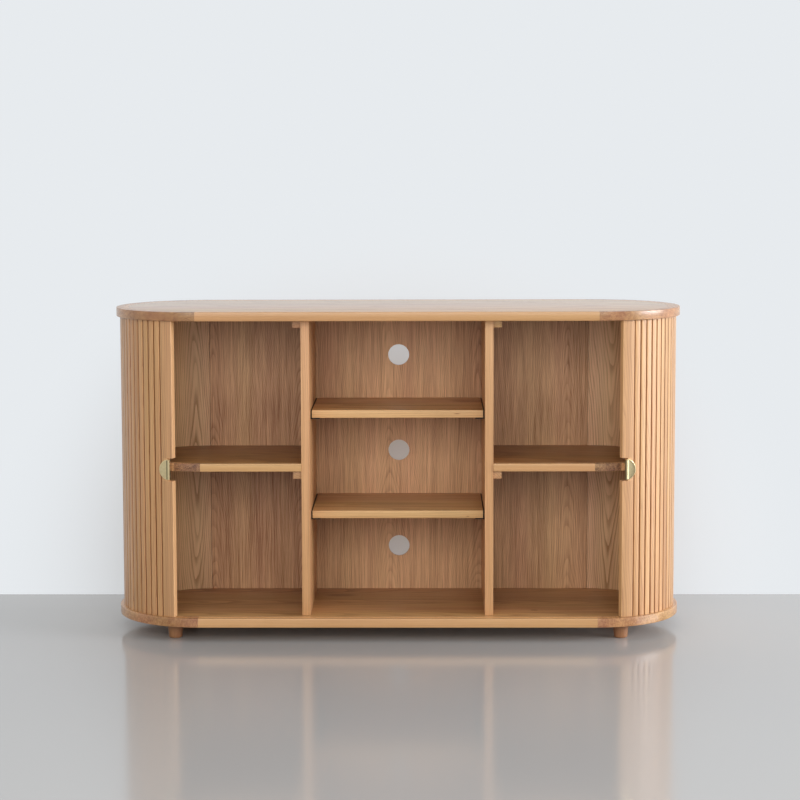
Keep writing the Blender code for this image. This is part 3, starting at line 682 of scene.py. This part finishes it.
# Back and end linings: thin oak-veneered ply, flat behind the shelves and bent round the two
# ends. The crowns of the figure point down on the right, and away from the side shelf on the
# left.
BACK_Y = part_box("back_panel")[0].y
LINING_THICKNESS = 0.009
LINING_START = 36.1
LINING_END = 179.5
CUT_EDGE = 0.35
CUT_EDGE_BLEND = 0.05
CUT_EDGE_SHADE = -0.7
CROWN_PLACE = {"left": 0.421, "right": 0.404}
CROWN_TURN_Z = 0.423


def dress(node, material):
    """Give one of the frame's own solids its material."""
    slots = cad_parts[node].data.materials
    slots.clear()
    slots.append(material)


# The back's broad spots are painted light and shade: paler across the middle bay, darker low in the
# side bays.
oak_back = oak(
    "oak_back_veneer", (0.750, 0.448, 0.238), (0.395, 0.200, 0.092), attribute=False,
    leaf_width=0.227, ring_spacing=0.0042, pith_depth=-0.13, taper=0.10, wobble=0.040,
    ring_contrast=0.42, streak_contrast=0.20, fibre_contrast=0.75, tone_change=0.20, hue_change=0.4,
    spots=(
        ((0.0, BACK_Y, 0.42), (0.29, 0.5, 1.2), -0.35),
        ((-0.34, BACK_Y, 0.22), (0.22, 0.5, 0.24), 0.30),
        ((-0.34, BACK_Y, 0.52), (0.22, 0.5, 0.13), 0.28),
        ((0.34, BACK_Y, 0.52), (0.22, 0.5, 0.13), 0.20),
    ),
)
dress("back_panel", oak_back)
oak_lining = oak(
    "oak_bent_lining", (0.860, 0.560, 0.316), (0.500, 0.286, 0.141), leaf_width=0.16,
    pith_shift=0.0, ring_spacing=0.0050, pith_depth=0.020, taper=0.075, wobble=0.040,
    ring_contrast=0.80, streak_contrast=0.15, fibre_contrast=0.50,
)
for hand, side in (("left", -1), ("right", 1)):
    low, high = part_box(f"{hand}_end_lining")
    face = np.linspace(LINING_START, LINING_END - CUT_EDGE - CUT_EDGE_BLEND, 91)
    angle = np.radians(np.append(face, [LINING_END - CUT_EDGE, LINING_END]))
    direction = np.stack([side * np.sin(angle), -np.cos(angle)], 1)
    radius = BACK_Y + LINING_THICKNESS * np.array([0, 1, 1, 1, 0, 0])
    height = np.array([low.z, low.z, CROWN_TURN_Z, high.z, high.z, CROWN_TURN_Z])
    plan = np.array([side * END_X, 0.0]) + direction[:, None] * radius[None, :, None]
    points = raised(plan, height)
    across = np.repeat(angle * BACK_Y, len(radius)) - CROWN_PLACE[hand]
    along = -points[:, 2] if side > 0 else np.abs(points[:, 2] - CROWN_TURN_Z)
    grain = np.stack([across, 0 * across, along + draw.uniform()], 1)
    cut = np.repeat(np.arange(len(angle)) >= len(face), len(radius))
    put_mesh(
        f"{hand}_bent_lining", points, skin(len(angle), len(radius)), grain,
        np.where(cut, CUT_EDGE_SHADE, 0.0), oak_lining, "carcass",
        (f"{hand}_end_lining",),
    )

# Side shelves: veneered boards cut to the round of the lining, with a straight lipping of
# solid oak and a darker curved one whose grain runs from front to back.
# The shelf veneer is made far darker than the other oak: painted shade, for the shelf tops lying in
# shade inside the bays.
shelf_veneer_in_painted_shade = oak(
    "oak_shelf_veneer_painted_shade", (0.387, 0.182, 0.056), (0.230, 0.095, 0.026), leaf_width=0.12, wobble=0.012
)
oak_shelf_end = oak(
    "oak_shelf_corner", (0.690, 0.375, 0.170), (0.245, 0.119, 0.056), ring_spacing=0.0026,
    fibre_contrast=0.6,
)
SHELF_FRONT_RADIUS = 0.180
SHELF_LIPPING = 0.020
CORNER_END = 28.9
CORNER_RUN = 0.0057
# Past this x the corner lipping is painted paler: painted light falling through the door's notch.
NOTCH_LIGHT_X = END_X + 0.057
NOTCH_LIGHT_SHADE = -1.4
SHELF_ARRIS = 0.0003
LIPPING_ARRIS = 0.0008
# Painted light: the side shelves' front lipping is made lighter on its edges than on its faces.
SHELF_EDGE_PAINTED_LIGHT = -0.35


def corner_grain_notch_lit(seed):
    """Grain from front to back, with painted light on the corner's end behind the door, where light
    comes in through the notch.
    """

    def place(points, facing):
        along, shade = grain_along_y(seed)(points, facing)
        return along, shade + NOTCH_LIGHT_SHADE * (np.abs(points[:, 0]) > NOTCH_LIGHT_X)

    return place


for hand, side in (("left", -1), ("right", 1)):
    low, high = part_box(f"{hand}_side_shelf")
    flat_x = low.x if side > 0 else high.x
    inner = SHELF_FRONT_RADIUS - SHELF_LIPPING
    front = half_circle(inner, side, 0.0, CORNER_END, 12)
    lined = half_circle(high.y, side, CORNER_END, 180.0, 60)
    outline = np.concatenate([[(flat_x, -inner)], front, lined, [(flat_x, high.y)]])
    outline = outline if side > 0 else outline[::-1]
    board(
        f"{hand}_shelf_board", outline, low.z, high.z, SHELF_ARRIS, grain_along_x(draw.uniform()),
        shelf_veneer_in_painted_shade, "carcass", (f"{hand}_side_shelf",),
    )
    edge_low, edge_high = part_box(f"{hand}_shelf_front_lipping")
    board(
        f"{hand}_shelf_edge", rectangle(edge_low, edge_high), low.z, high.z, LIPPING_ARRIS,
        grain_along_x(draw.uniform()), oak_edges["top"], "carcass",
        (f"{hand}_shelf_front_lipping",), edge_painted_shade=SHELF_EDGE_PAINTED_LIGHT,
    )
    outer = half_circle(SHELF_FRONT_RADIUS, side, 0.0, CORNER_END, 16)
    back = half_circle(inner + SEAM, side, 0.0, CORNER_END, 16)[::-1]
    seam_x = side * (END_X - CORNER_RUN)
    ends = [(seam_x, -inner - SEAM), (seam_x, -SHELF_FRONT_RADIUS)]
    outline = np.concatenate([outer, back, ends])
    outline = outline if side > 0 else outline[::-1]
    board(
        f"{hand}_shelf_corner_edge", outline, low.z, high.z, LIPPING_ARRIS,
        corner_grain_notch_lit(draw.uniform()), oak_shelf_end, "carcass",
        (f"{hand}_shelf_corner_lipping",),
    )

# Centre shelves: solid oak boards that lie loose on black steel angle rails, one screwed to
# each divider.
CENTRE_ARRIS = 0.0012
# Painted light: the centre shelves' edges are made lighter than their tops, as light falls more on
# them.
CENTRE_EDGE_PAINTED_LIGHT = -0.6
oak_centre = oak(
    "oak_centre_shelf", (0.690, 0.402, 0.176), (0.430, 0.212, 0.080), leaf_width=0.09,
    wobble=0.010, taper=0.006,
    spots=(
        ((0.146, -0.123, 0.5476), (0.0110, 0.0150, 0.0022), KNOT_SHADE),
        ((0.172, -0.123, 0.2938), (0.0055, 0.0100, 0.0020), KNOT_SHADE),
    ),
)
for name in ("lower", "upper"):
    low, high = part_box(f"{name}_centre_shelf")
    board(
        f"{name}_shelf_board", rectangle(low, high), low.z, high.z, CENTRE_ARRIS,
        grain_along_x(draw.uniform()), oak_centre, "carcass",
        (f"{name}_centre_shelf",), edge_painted_shade=CENTRE_EDGE_PAINTED_LIGHT,
    )

rail_black, tree, shader = new_finish(
    "rail_black", {"Base Color": (0.006, 0.006, 0.007, 1), "Specular IOR Level": 0.2}
)
where = tree.nodes.new("ShaderNodeTexCoord")
orange_peel = noise(tree, where.outputs["Object"], 900.0)
tree.links.new(ranged(tree, orange_peel, target=(0.42, 0.62)), shader.inputs["Roughness"])
add_relief(tree, orange_peel, 0.15, 0.0002, shader)
for name in ("lower_left", "lower_right", "upper_left", "upper_right"):
    dress(f"{name}_shelf_rail", rail_black)

# Cleats, posts, battens and the stop: plain oak sticks, glued and screwed. The cleats show at
# their front ends. The posts are near black as painted shadow, for the dark hollow behind the
# open doors. The stop stands in the lower groove, and shows from behind between the open doors.
STICK_ARRIS = 0.0008
oak_stick = oak("oak_cleat", (0.680, 0.385, 0.185), (0.430, 0.215, 0.095))
for name in ("left_top", "left_shelf", "right_top", "right_shelf"):
    low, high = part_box(f"{name}_cleat")
    board(
        f"{name}_batten", rectangle(low, high), low.z, high.z, STICK_ARRIS,
        grain_along_y(draw.uniform()), oak_stick, "carcass", (f"{name}_cleat",),
    )
oak_hidden = oak("oak_upright_stick", (0.520, 0.320, 0.180), (0.340, 0.185, 0.092), attribute=False)
# The posts' near-black colour is painted shadow: the dark hollow seen through the notches.
post_painted_shadow = oak("oak_post_painted_shadow", (0.040, 0.024, 0.015), (0.024, 0.014, 0.009), attribute=False)
for name, finish in (
    ("left_corner_post", post_painted_shadow), ("right_corner_post", post_painted_shadow), ("left_seam_batten", oak_hidden),
    ("right_seam_batten", oak_hidden), ("track_stop", oak_hidden),
):
    dress(name, finish)

# Feet: short round feet turned from solid oak, which taper down to a rounded edge. A stud in
# each one holds it to the bottom board.
FOOT_TOP_RADIUS = 0.0195
FOOT_BOTTOM_RADIUS = 0.0165
FOOT_ROUNDING = 0.004
# The feet's oak is made much darker than the rest: painted shade, for the shade under the sideboard.
oak_foot_painted_shade = oak("oak_foot_painted_shade", (0.410, 0.200, 0.085), (0.260, 0.115, 0.046), ring_spacing=0.0026)
for name in ("front_left", "front_right", "rear_left", "rear_right"):
    low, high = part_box(f"{name}_foot")
    centre = (low + high) / 2
    bend = np.radians(np.linspace(0, 90, 7))
    rim = FOOT_BOTTOM_RADIUS - FOOT_ROUNDING * (1 - np.sin(bend))
    radius = np.concatenate([[0.0], rim, [FOOT_TOP_RADIUS, 0.0]])
    height = np.concatenate([[0.0], FOOT_ROUNDING * (1 - np.cos(bend)), [high.z, high.z]])
    angle = np.radians(np.arange(0, 360, 7.5))
    x = centre.x + radius[:, None] * np.cos(angle)
    y = centre.y + radius[:, None] * np.sin(angle)
    points = raised(np.stack([x, y], 2), height[:, None])
    grain = points - [centre.x, centre.y, 0] + [0.02, 0.03, draw.uniform()]
    put_mesh(
        f"{name}_turned_foot", points, skin(len(radius), len(angle)), grain, 0 * points[:, 0],
        oak_foot_painted_shade, "carcass", (f"{name}_foot",),
    )

# Tambour curtains: oak slats with a softened outer edge, glued side by side on a canvas that
# bends between them, dark brown as painted shade in the gaps. Each slat has a tongue at both
# ends that runs in the groove.
CURTAIN_RADIUS = END_RADIUS - 0.009
SLAT_WIDTH = 0.0150
SLAT_THICKNESS = 0.012
SLAT_ARRIS = 0.0020
SLAT_PITCH = 0.01656
CANVAS_THICKNESS = 0.0007
BEND_RADIUS = CURTAIN_RADIUS - SLAT_THICKNESS - CANVAS_THICKNESS / 2
PITCH_ANGLE = math.degrees(SLAT_PITCH / BEND_RADIUS)
FIRST_SLAT = 27.5117
ARC_SLATS = 32
CROSSING_SLATS = 3
TAIL_SLATS = 23
TONGUE_SETBACK = 0.003
TONGUE_THICKNESS = 0.0065
TONGUE_WIDTH = 0.012
TONGUE_LENGTH = 0.0075
SLAT_LOW = FLOOR_Z + 0.0004
SLAT_HIGH = CEILING_Z - 0.001
SLAT_SHADES = (-0.12, 0.22)
# Painted shade on the slats' flanks, where they face the dark gaps between slats.
GAP_PAINTED_SHADE = 0.8
CANVAS_START = 23.2
CANVAS_STEP = 1.2
CANVAS_GAP = 0.0001
CANVAS_MARGIN = 0.001


def on_path(side, angle):
    """Place on the curtain's outer face, and the trailing and outward directions.

    Up to 180 degrees the path is the round end. Beyond, it is straight along the back, and
    the angle counts as length at the bend radius.
    """
    turn = np.radians(np.minimum(angle, 180.0))
    outward = np.stack([side * np.sin(turn), -np.cos(turn)], -1)
    trailing = np.stack([side * np.cos(turn), np.sin(turn)], -1)
    straight = BEND_RADIUS * np.radians(np.maximum(angle - 180.0, 0.0))
    place = np.array([side * END_X, 0.0]) + outward * CURTAIN_RADIUS
    return place + trailing * straight[..., None], trailing, outward


def slat_profile():
    """Across and depth round a slat: a flat back and two rounded outer arrises."""
    half = SLAT_WIDTH / 2
    angle = np.linspace(0, math.pi / 2, 4)
    x = half - SLAT_ARRIS * (1 - np.cos(angle))
    depth = SLAT_ARRIS * (1 - np.sin(angle))
    across = np.concatenate([[-half, half], x, -x[::-1]])
    return across, np.concatenate([[SLAT_THICKNESS, SLAT_THICKNESS], depth, depth[::-1]])


def rods(side, angles, across, depth, low, high):
    """One upright prism per angle, as points (slat, end, profile) and faces."""
    place, trailing, outward = on_path(side, angles)
    plan = place[:, None] + trailing[:, None] * across[None, :, None]
    plan = plan - outward[:, None] * depth[None, :, None]
    points = raised(np.stack([plan, plan], 1), np.array([[low], [high]]))
    per_slat = 2 * len(across)
    faces = [f for i in range(len(angles)) for f in skin(2, len(across), i * per_slat)]
    return points, faces


def slat_row(name, side, angles, material, body, stands_for=()):
    """Slats with their tongues, each with its own stretch of grain and its own shade, and painted
    shade on the flanks that face the gaps between slats.
    """
    across, depth = slat_profile()
    points, faces = rods(side, angles, across, depth, SLAT_LOW, SLAT_HIGH)
    reach = TONGUE_WIDTH / 2
    tongue_x = np.array([-reach, reach, reach, -reach])
    tongue_depth = TONGUE_SETBACK + np.array([TONGUE_THICKNESS, TONGUE_THICKNESS, 0, 0])
    tongue_low = FLOOR_Z - TONGUE_LENGTH
    tongue_high = CEILING_Z + TONGUE_LENGTH
    more, more_faces = rods(side, angles, tongue_x, tongue_depth, tongue_low, tongue_high)
    start = len(points)
    seeds = draw.uniform(size=(len(angles), 3)) * [0.16, 0.03, 4.0]
    local = np.concatenate([
        np.tile(np.stack([across, depth], 1), (2 * len(angles), 1)),
        np.tile(np.stack([tongue_x, tongue_depth], 1), (2 * len(angles), 1)),
    ])
    seed = np.concatenate([np.repeat(seeds, 2 * len(across), 0), np.repeat(seeds, 8, 0)])
    shades = draw.uniform(*SLAT_SHADES, len(angles))
    facing_gap = np.abs(across) > SLAT_WIDTH / 2 - SLAT_ARRIS / 4
    painted_gap_shade = np.tile(GAP_PAINTED_SHADE * facing_gap, 2 * len(angles))
    shade = np.concatenate([np.repeat(shades, 2 * len(across)) + painted_gap_shade, np.repeat(shades, 8)])
    points = np.concatenate([points, more])
    faces += [[start + i for i in face] for face in more_faces]
    grain = np.concatenate([local, points[:, 2:]], 1) + seed
    return put_mesh(name, points, faces, grain, shade, material, body, stands_for)


def canvas_strip(name, side, start, end, material, body, stands_for=()):
    """The cloth behind the slats: a thin band that follows the path between two angles."""
    count = max(2, int((end - start) / CANVAS_STEP))
    angles = np.linspace(start, end, count)
    place, _, outward = on_path(side, angles)
    front, back = SLAT_THICKNESS + CANVAS_GAP, SLAT_THICKNESS + CANVAS_THICKNESS
    low, high = SLAT_LOW + CANVAS_MARGIN, SLAT_HIGH - CANVAS_MARGIN
    depth = np.array([front, back, back, front])
    plan = place[:, None] - outward[:, None] * depth[None, :, None]
    points = raised(plan, np.array([low, low, high, high]))
    along = np.repeat(np.radians(angles) * BEND_RADIUS, 4)
    grain = np.stack([along, 0 * along, points[:, 2]], 1)
    faces = skin(count, 4)
    return put_mesh(name, points, faces, grain, 0 * along, material, body, stands_for)


def blend(tree, share, first, second):
    """A colour between two, by a share from 0 to 1."""
    mix = tree.nodes.new("ShaderNodeMix")
    mix.data_type = "RGBA"
    mix.inputs["A"].default_value = (*first, 1)
    mix.inputs["B"].default_value = (*second, 1)
    tree.links.new(share, mix.inputs["Factor"])
    return mix.outputs["Result"]


def canvas_material():
    """Cotton canvas, dark brown as painted shade in the gaps between slats: warp and weft from two
    crossed waves on the cloth's own places.
    """
    material, tree, shader = new_finish("canvas_dark_as_gap_shade", {"Specular IOR Level": 0.15})
    place = carried(tree, "grain", "Vector")
    waves = []
    for direction in ("X", "Z"):
        wave = tree.nodes.new("ShaderNodeTexWave")
        wave.bands_direction = direction
        wave.inputs["Scale"].default_value = 420.0
        tree.links.new(place, wave.inputs["Vector"])
        waves.append(wave.outputs["Fac"])
    weave = calculated(tree, "MULTIPLY", *waves)
    colour = blend(tree, weave, (0.135, 0.088, 0.052), (0.235, 0.160, 0.098))
    tree.links.new(colour, shader.inputs["Base Color"])
    tree.links.new(ranged(tree, weave, target=(0.95, 0.82)), shader.inputs["Roughness"])
    add_relief(tree, weave, 0.3, 0.0003, shader)
    return material


oak_slat = oak(
    "oak_slat", (0.740, 0.414, 0.172), (0.462, 0.222, 0.078), coat=0.9, coat_roughness=0.45,
    ring_spacing=0.0040, ring_contrast=0.55, tone_change=0.40, hue_change=0.45,
)
canvas = canvas_material()
slat_angles = FIRST_SLAT + PITCH_ANGLE * np.arange(ARC_SLATS + CROSSING_SLATS + TAIL_SLATS)
half_slat = math.degrees(SLAT_WIDTH / 2 / BEND_RADIUS)
for hand, side in (("left", -1), ("right", 1)):
    arc = slat_angles[:ARC_SLATS]
    door = f"{hand}_door"
    slat_row(f"{hand}_end_slats", side, arc, oak_slat, door, (f"{hand}_curtain",))
    canvas_strip(f"{hand}_end_canvas", side, CANVAS_START, arc[-1] + half_slat, canvas, door)
    for i in range(CROSSING_SLATS):
        angle = slat_angles[ARC_SLATS + i]
        body = f"{hand}_slat_{i + 1}"
        slat_row(
            f"{hand}_turning_slat_{i + 1}", side, np.array([angle]), oak_slat, body,
            (f"{hand}_crossing_slat_{i + 1}",),
        )
        canvas_strip(
            f"{hand}_turning_canvas_{i + 1}", side, angle - half_slat, angle + half_slat, canvas, body
        )
    tail = slat_angles[ARC_SLATS + CROSSING_SLATS:]
    slat_row(f"{hand}_rear_slats", side, tail, oak_slat, f"{hand}_tail", (f"{hand}_curtain_tail",))
    canvas_strip(
        f"{hand}_rear_canvas", side, tail[0] - half_slat, tail[-1] + half_slat, canvas, f"{hand}_tail"
    )

# Door stiles: the wide leading edge of each curtain, rebated at the back for the canvas, with
# a tongue at both ends and a finger notch cut through its leading edge.
STILE_ANGLE = 20.6
STILE_WIDTH = 0.030
STILE_THICKNESS = 0.016
STILE_REBATE = 0.008
STILE_ARRIS = 0.0013
STILE_TONGUE = 0.024
NOTCH_DEPTH = 0.0147
NOTCH_Z = (0.3925, 0.4485)
STILE_BACK_ARRIS = 0.0008
# Lighter leading face and notch walls: painted light, where the side light falls.
SIDE_LIGHT_PAINT = -0.8


def stile_points(side):
    """Profile carried up the stile, with its leading part held back to the notch's bottom
    between the notch's two heights. Rows at the notch's heights come twice, to make a step."""
    half = STILE_WIDTH / 2
    angle = np.linspace(0, math.pi / 2, 5)
    round_x = STILE_ARRIS * (1 - np.cos(angle))
    round_y = STILE_ARRIS * (1 - np.sin(angle))
    across = np.concatenate([
        [-half + STILE_BACK_ARRIS, half - STILE_REBATE, half - STILE_REBATE, half],
        half - round_x, (-half + round_x)[::-1], [-half],
    ])
    depth = np.concatenate([
        [STILE_THICKNESS, STILE_THICKNESS, SLAT_THICKNESS, SLAT_THICKNESS],
        round_y, round_y[::-1], [STILE_THICKNESS - STILE_BACK_ARRIS],
    ])
    held = np.maximum(across, -half + NOTCH_DEPTH)
    z = np.array([SLAT_LOW, NOTCH_Z[0], NOTCH_Z[0], NOTCH_Z[1], NOTCH_Z[1], SLAT_HIGH])
    rows = np.stack([across, across, held, held, across, across])
    place, trailing, outward = on_path(side, np.array(STILE_ANGLE))
    plan = place + trailing * rows[..., None] - outward * depth[None, :, None]
    points = raised(plan, z[:, None])
    grain = np.stack([rows.ravel(), np.tile(depth, len(z)), points[:, 2]], 1)
    # Painted light: the notch's walls and the leading face are made lighter.
    in_notch = np.abs(rows.ravel() - held[-1]) < 0.0001
    leading = np.abs(rows.ravel() + half) < 0.0009
    painted_side_light = SIDE_LIGHT_PAINT * in_notch + SIDE_LIGHT_PAINT * leading
    return points, skin(len(z), len(across)), grain, painted_side_light


oak_stile = oak(
    "oak_stile", (0.660, 0.370, 0.160), (0.425, 0.208, 0.080), coat=0.9, coat_roughness=0.45,
    ring_spacing=0.0036, ring_contrast=0.5, hue_change=0.4,
)
for hand, side in (("left", -1), ("right", 1)):
    points, faces, grain, painted_side_light = stile_points(side)
    shift = draw.uniform(size=3) * [0.05, 0.02, 2.0]
    put_mesh(
        f"{hand}_leading_stile", points, faces, grain + shift, painted_side_light, oak_stile,
        f"{hand}_door", (f"{hand}_stile",),
    )
    reach = STILE_TONGUE / 2
    across = np.array([-reach, reach, reach, -reach])
    depth = TONGUE_SETBACK + np.array([TONGUE_THICKNESS, TONGUE_THICKNESS, 0, 0])
    for end, low, high in (
        ("lower", FLOOR_Z - TONGUE_LENGTH, SLAT_LOW),
        ("upper", SLAT_HIGH, CEILING_Z + TONGUE_LENGTH),
    ):
        points, faces = rods(side, np.array([STILE_ANGLE]), across, depth, low, high)
        put_mesh(
            f"{hand}_stile_{end}_tongue", points, faces, points, 0 * points[:, 0], oak_stile,
            f"{hand}_door",
        )

# Pulls: half-moon plates of satin brass with a bevelled rim and a raised bar along the flat
# side, which overhangs the notch for a fingertip. A screw from behind holds each.
PULL_Z = 0.4205
PULL_RADIUS = 0.0253
PULL_WIDTH = 0.0282
PULL_OVERHANG = 0.0084
PULL_THICKNESS = 0.0035
PULL_BEVEL = 0.0016
BAR_WIDTH = 0.0052
BAR_SLOPE = 0.0030
BAR_RISE = 0.0016
PULL_ARRIS = 0.0005
PULL_ROWS = 61
# Painted reflections on the brass: the rim and bevel get painted highlights, and each pull's bar,
# slope and plate are painted lighter and darker as its reflections fall.
REFLECTION_STEP = 0.0003
RIM_HIGHLIGHT = 0.6
BEVEL_HIGHLIGHT = 0.8
PULL_REFLECTIONS = {-1: (0.5, -1.0, 0.5), 1: (-0.5, 0.8, -0.4)}


def pull_points(side):
    """Rows at one height each, from the flat side to the rim, swept over the rim's angle t:
    z = (R - bevel) sin t. The front's height is the plate's plus the bar's rise, times
    1 - (x - bar) / slope held between 0 and 1. The bevel falls from there to the rim. The
    bar, the slope and the plate get each pull's own painted reflection, and the rim and bevel
    get a painted highlight."""
    turn = np.linspace(-math.pi / 2, math.pi / 2, PULL_ROWS)
    flat = -STILE_WIDTH / 2 + NOTCH_DEPTH - PULL_OVERHANG
    centre = flat + PULL_WIDTH - PULL_RADIUS
    front = SEAM + PULL_THICKNESS
    low_edge = front - 0.7 * PULL_BEVEL
    inner = PULL_RADIUS - PULL_BEVEL
    start = centre + inner * np.cos(turn)
    same = np.ones(PULL_ROWS)
    edge = RIM_HIGHLIGHT * same
    rim_x, rim_z = centre + PULL_RADIUS * np.cos(turn), PULL_RADIUS * np.sin(turn)

    def front_height(x):
        return front + BAR_RISE * np.clip(1 - (x - flat - BAR_WIDTH) / BAR_SLOPE, 0, 1)

    bar, slope, plate = PULL_REFLECTIONS[side]
    bend = np.linspace(math.pi / 2, 0, 3)
    columns = [(flat * same, (SEAM + 0.0002) * same, rim_z, edge)]
    for x, drop in zip(flat + PULL_ARRIS * (1 - np.sin(bend)), PULL_ARRIS * (1 - np.cos(bend))):
        columns.append((x * same, front_height(x) - drop * same, inner * np.sin(turn), bar * same))
    for x, reflection in (
        (-REFLECTION_STEP, bar),
        (REFLECTION_STEP, slope),
        (BAR_SLOPE - REFLECTION_STEP, slope),
        (BAR_SLOPE + REFLECTION_STEP, plate),
    ):
        held = np.minimum(flat + BAR_WIDTH + x, start)
        columns.append((held, front_height(held), inner * np.sin(turn), reflection * same))
    for share in np.linspace(0, 1, 4):
        r = inner + PULL_BEVEL * share**1.5
        y = front_height(start) + (low_edge - front_height(start)) * share
        reflection = plate + (BEVEL_HIGHLIGHT - plate) * min(1, 2 * share)
        columns.append((centre + r * np.cos(turn), y, r * np.sin(turn), reflection * same))
    columns.append((rim_x, SEAM * same, rim_z, edge))
    columns.append(((flat + 0.0002) * same, SEAM * same, rim_z, edge))
    grid = np.stack([np.stack(column, 1) for column in columns[::-1]], 1)
    place, trailing, outward = on_path(side, np.array(STILE_ANGLE))
    plan = place + trailing * grid[..., :1] + outward * grid[..., 1:2]
    points = raised(plan, PULL_Z + grid[..., 2])
    faces = skin(PULL_ROWS, len(columns))
    return points, faces, grid[..., :3].reshape(-1, 3), grid[..., 3].ravel()


brass, tree, shader = new_finish("satin_brass", {"Metallic": 1.0})
nodes = tree.nodes
links = tree.links
place = carried(tree, "grain", "Vector")
stretch = nodes.new("ShaderNodeMapping")
stretch.inputs["Scale"].default_value = (4000.0, 4000.0, 130.0)
links.new(place, stretch.inputs["Vector"])
brushing = noise(tree, stretch.outputs[0], 1.0, 3.0)
tarnish = noise(tree, place, 160.0)
tint = blend(tree, tarnish, (0.570, 0.475, 0.275), (0.440, 0.350, 0.190))
# The shade attribute scales the brass's colour: painted reflections and highlights.
reflection_scale = ranged(tree, carried(tree, "shade", "Fac"), (-1.0, 1.0), (0.25, 1.75))
reflected_tint = nodes.new("ShaderNodeVectorMath")
reflected_tint.operation = "SCALE"
links.new(tint, reflected_tint.inputs[0])
links.new(reflection_scale, reflected_tint.inputs["Scale"])
links.new(reflected_tint.outputs[0], shader.inputs["Base Color"])
links.new(ranged(tree, brushing, target=(0.24, 0.38)), shader.inputs["Roughness"])
add_relief(tree, brushing, 0.10, 0.0001, shader)
for hand, side in (("left", -1), ("right", 1)):
    points, faces, grain, painted_reflection = pull_points(side)
    put_mesh(
        f"{hand}_half_moon_pull", points, faces, grain, painted_reflection, brass, f"{hand}_door",
        (f"{hand}_pull",),
    )

# Screws and studs: zinc-plated steel. A screw from behind holds each pull, and a stud in each
# foot reaches up into the bottom board.
zinc, tree, shader = new_finish("zinc_plate", {"Metallic": 1.0, "Roughness": 0.38})
where = tree.nodes.new("ShaderNodeTexCoord")
spangle = tree.nodes.new("ShaderNodeTexVoronoi")
spangle.inputs["Scale"].default_value = 600.0
tree.links.new(where.outputs["Object"], spangle.inputs["Vector"])
tint = blend(tree, spangle.outputs["Distance"], (0.66, 0.67, 0.68), (0.52, 0.53, 0.55))
tree.links.new(tint, shader.inputs["Base Color"])
for name in (
    "left_pull_screw", "right_pull_screw", "front_left_foot_bolt", "front_right_foot_bolt",
    "rear_left_foot_bolt", "rear_right_foot_bolt",
):
    dress(name, zinc)
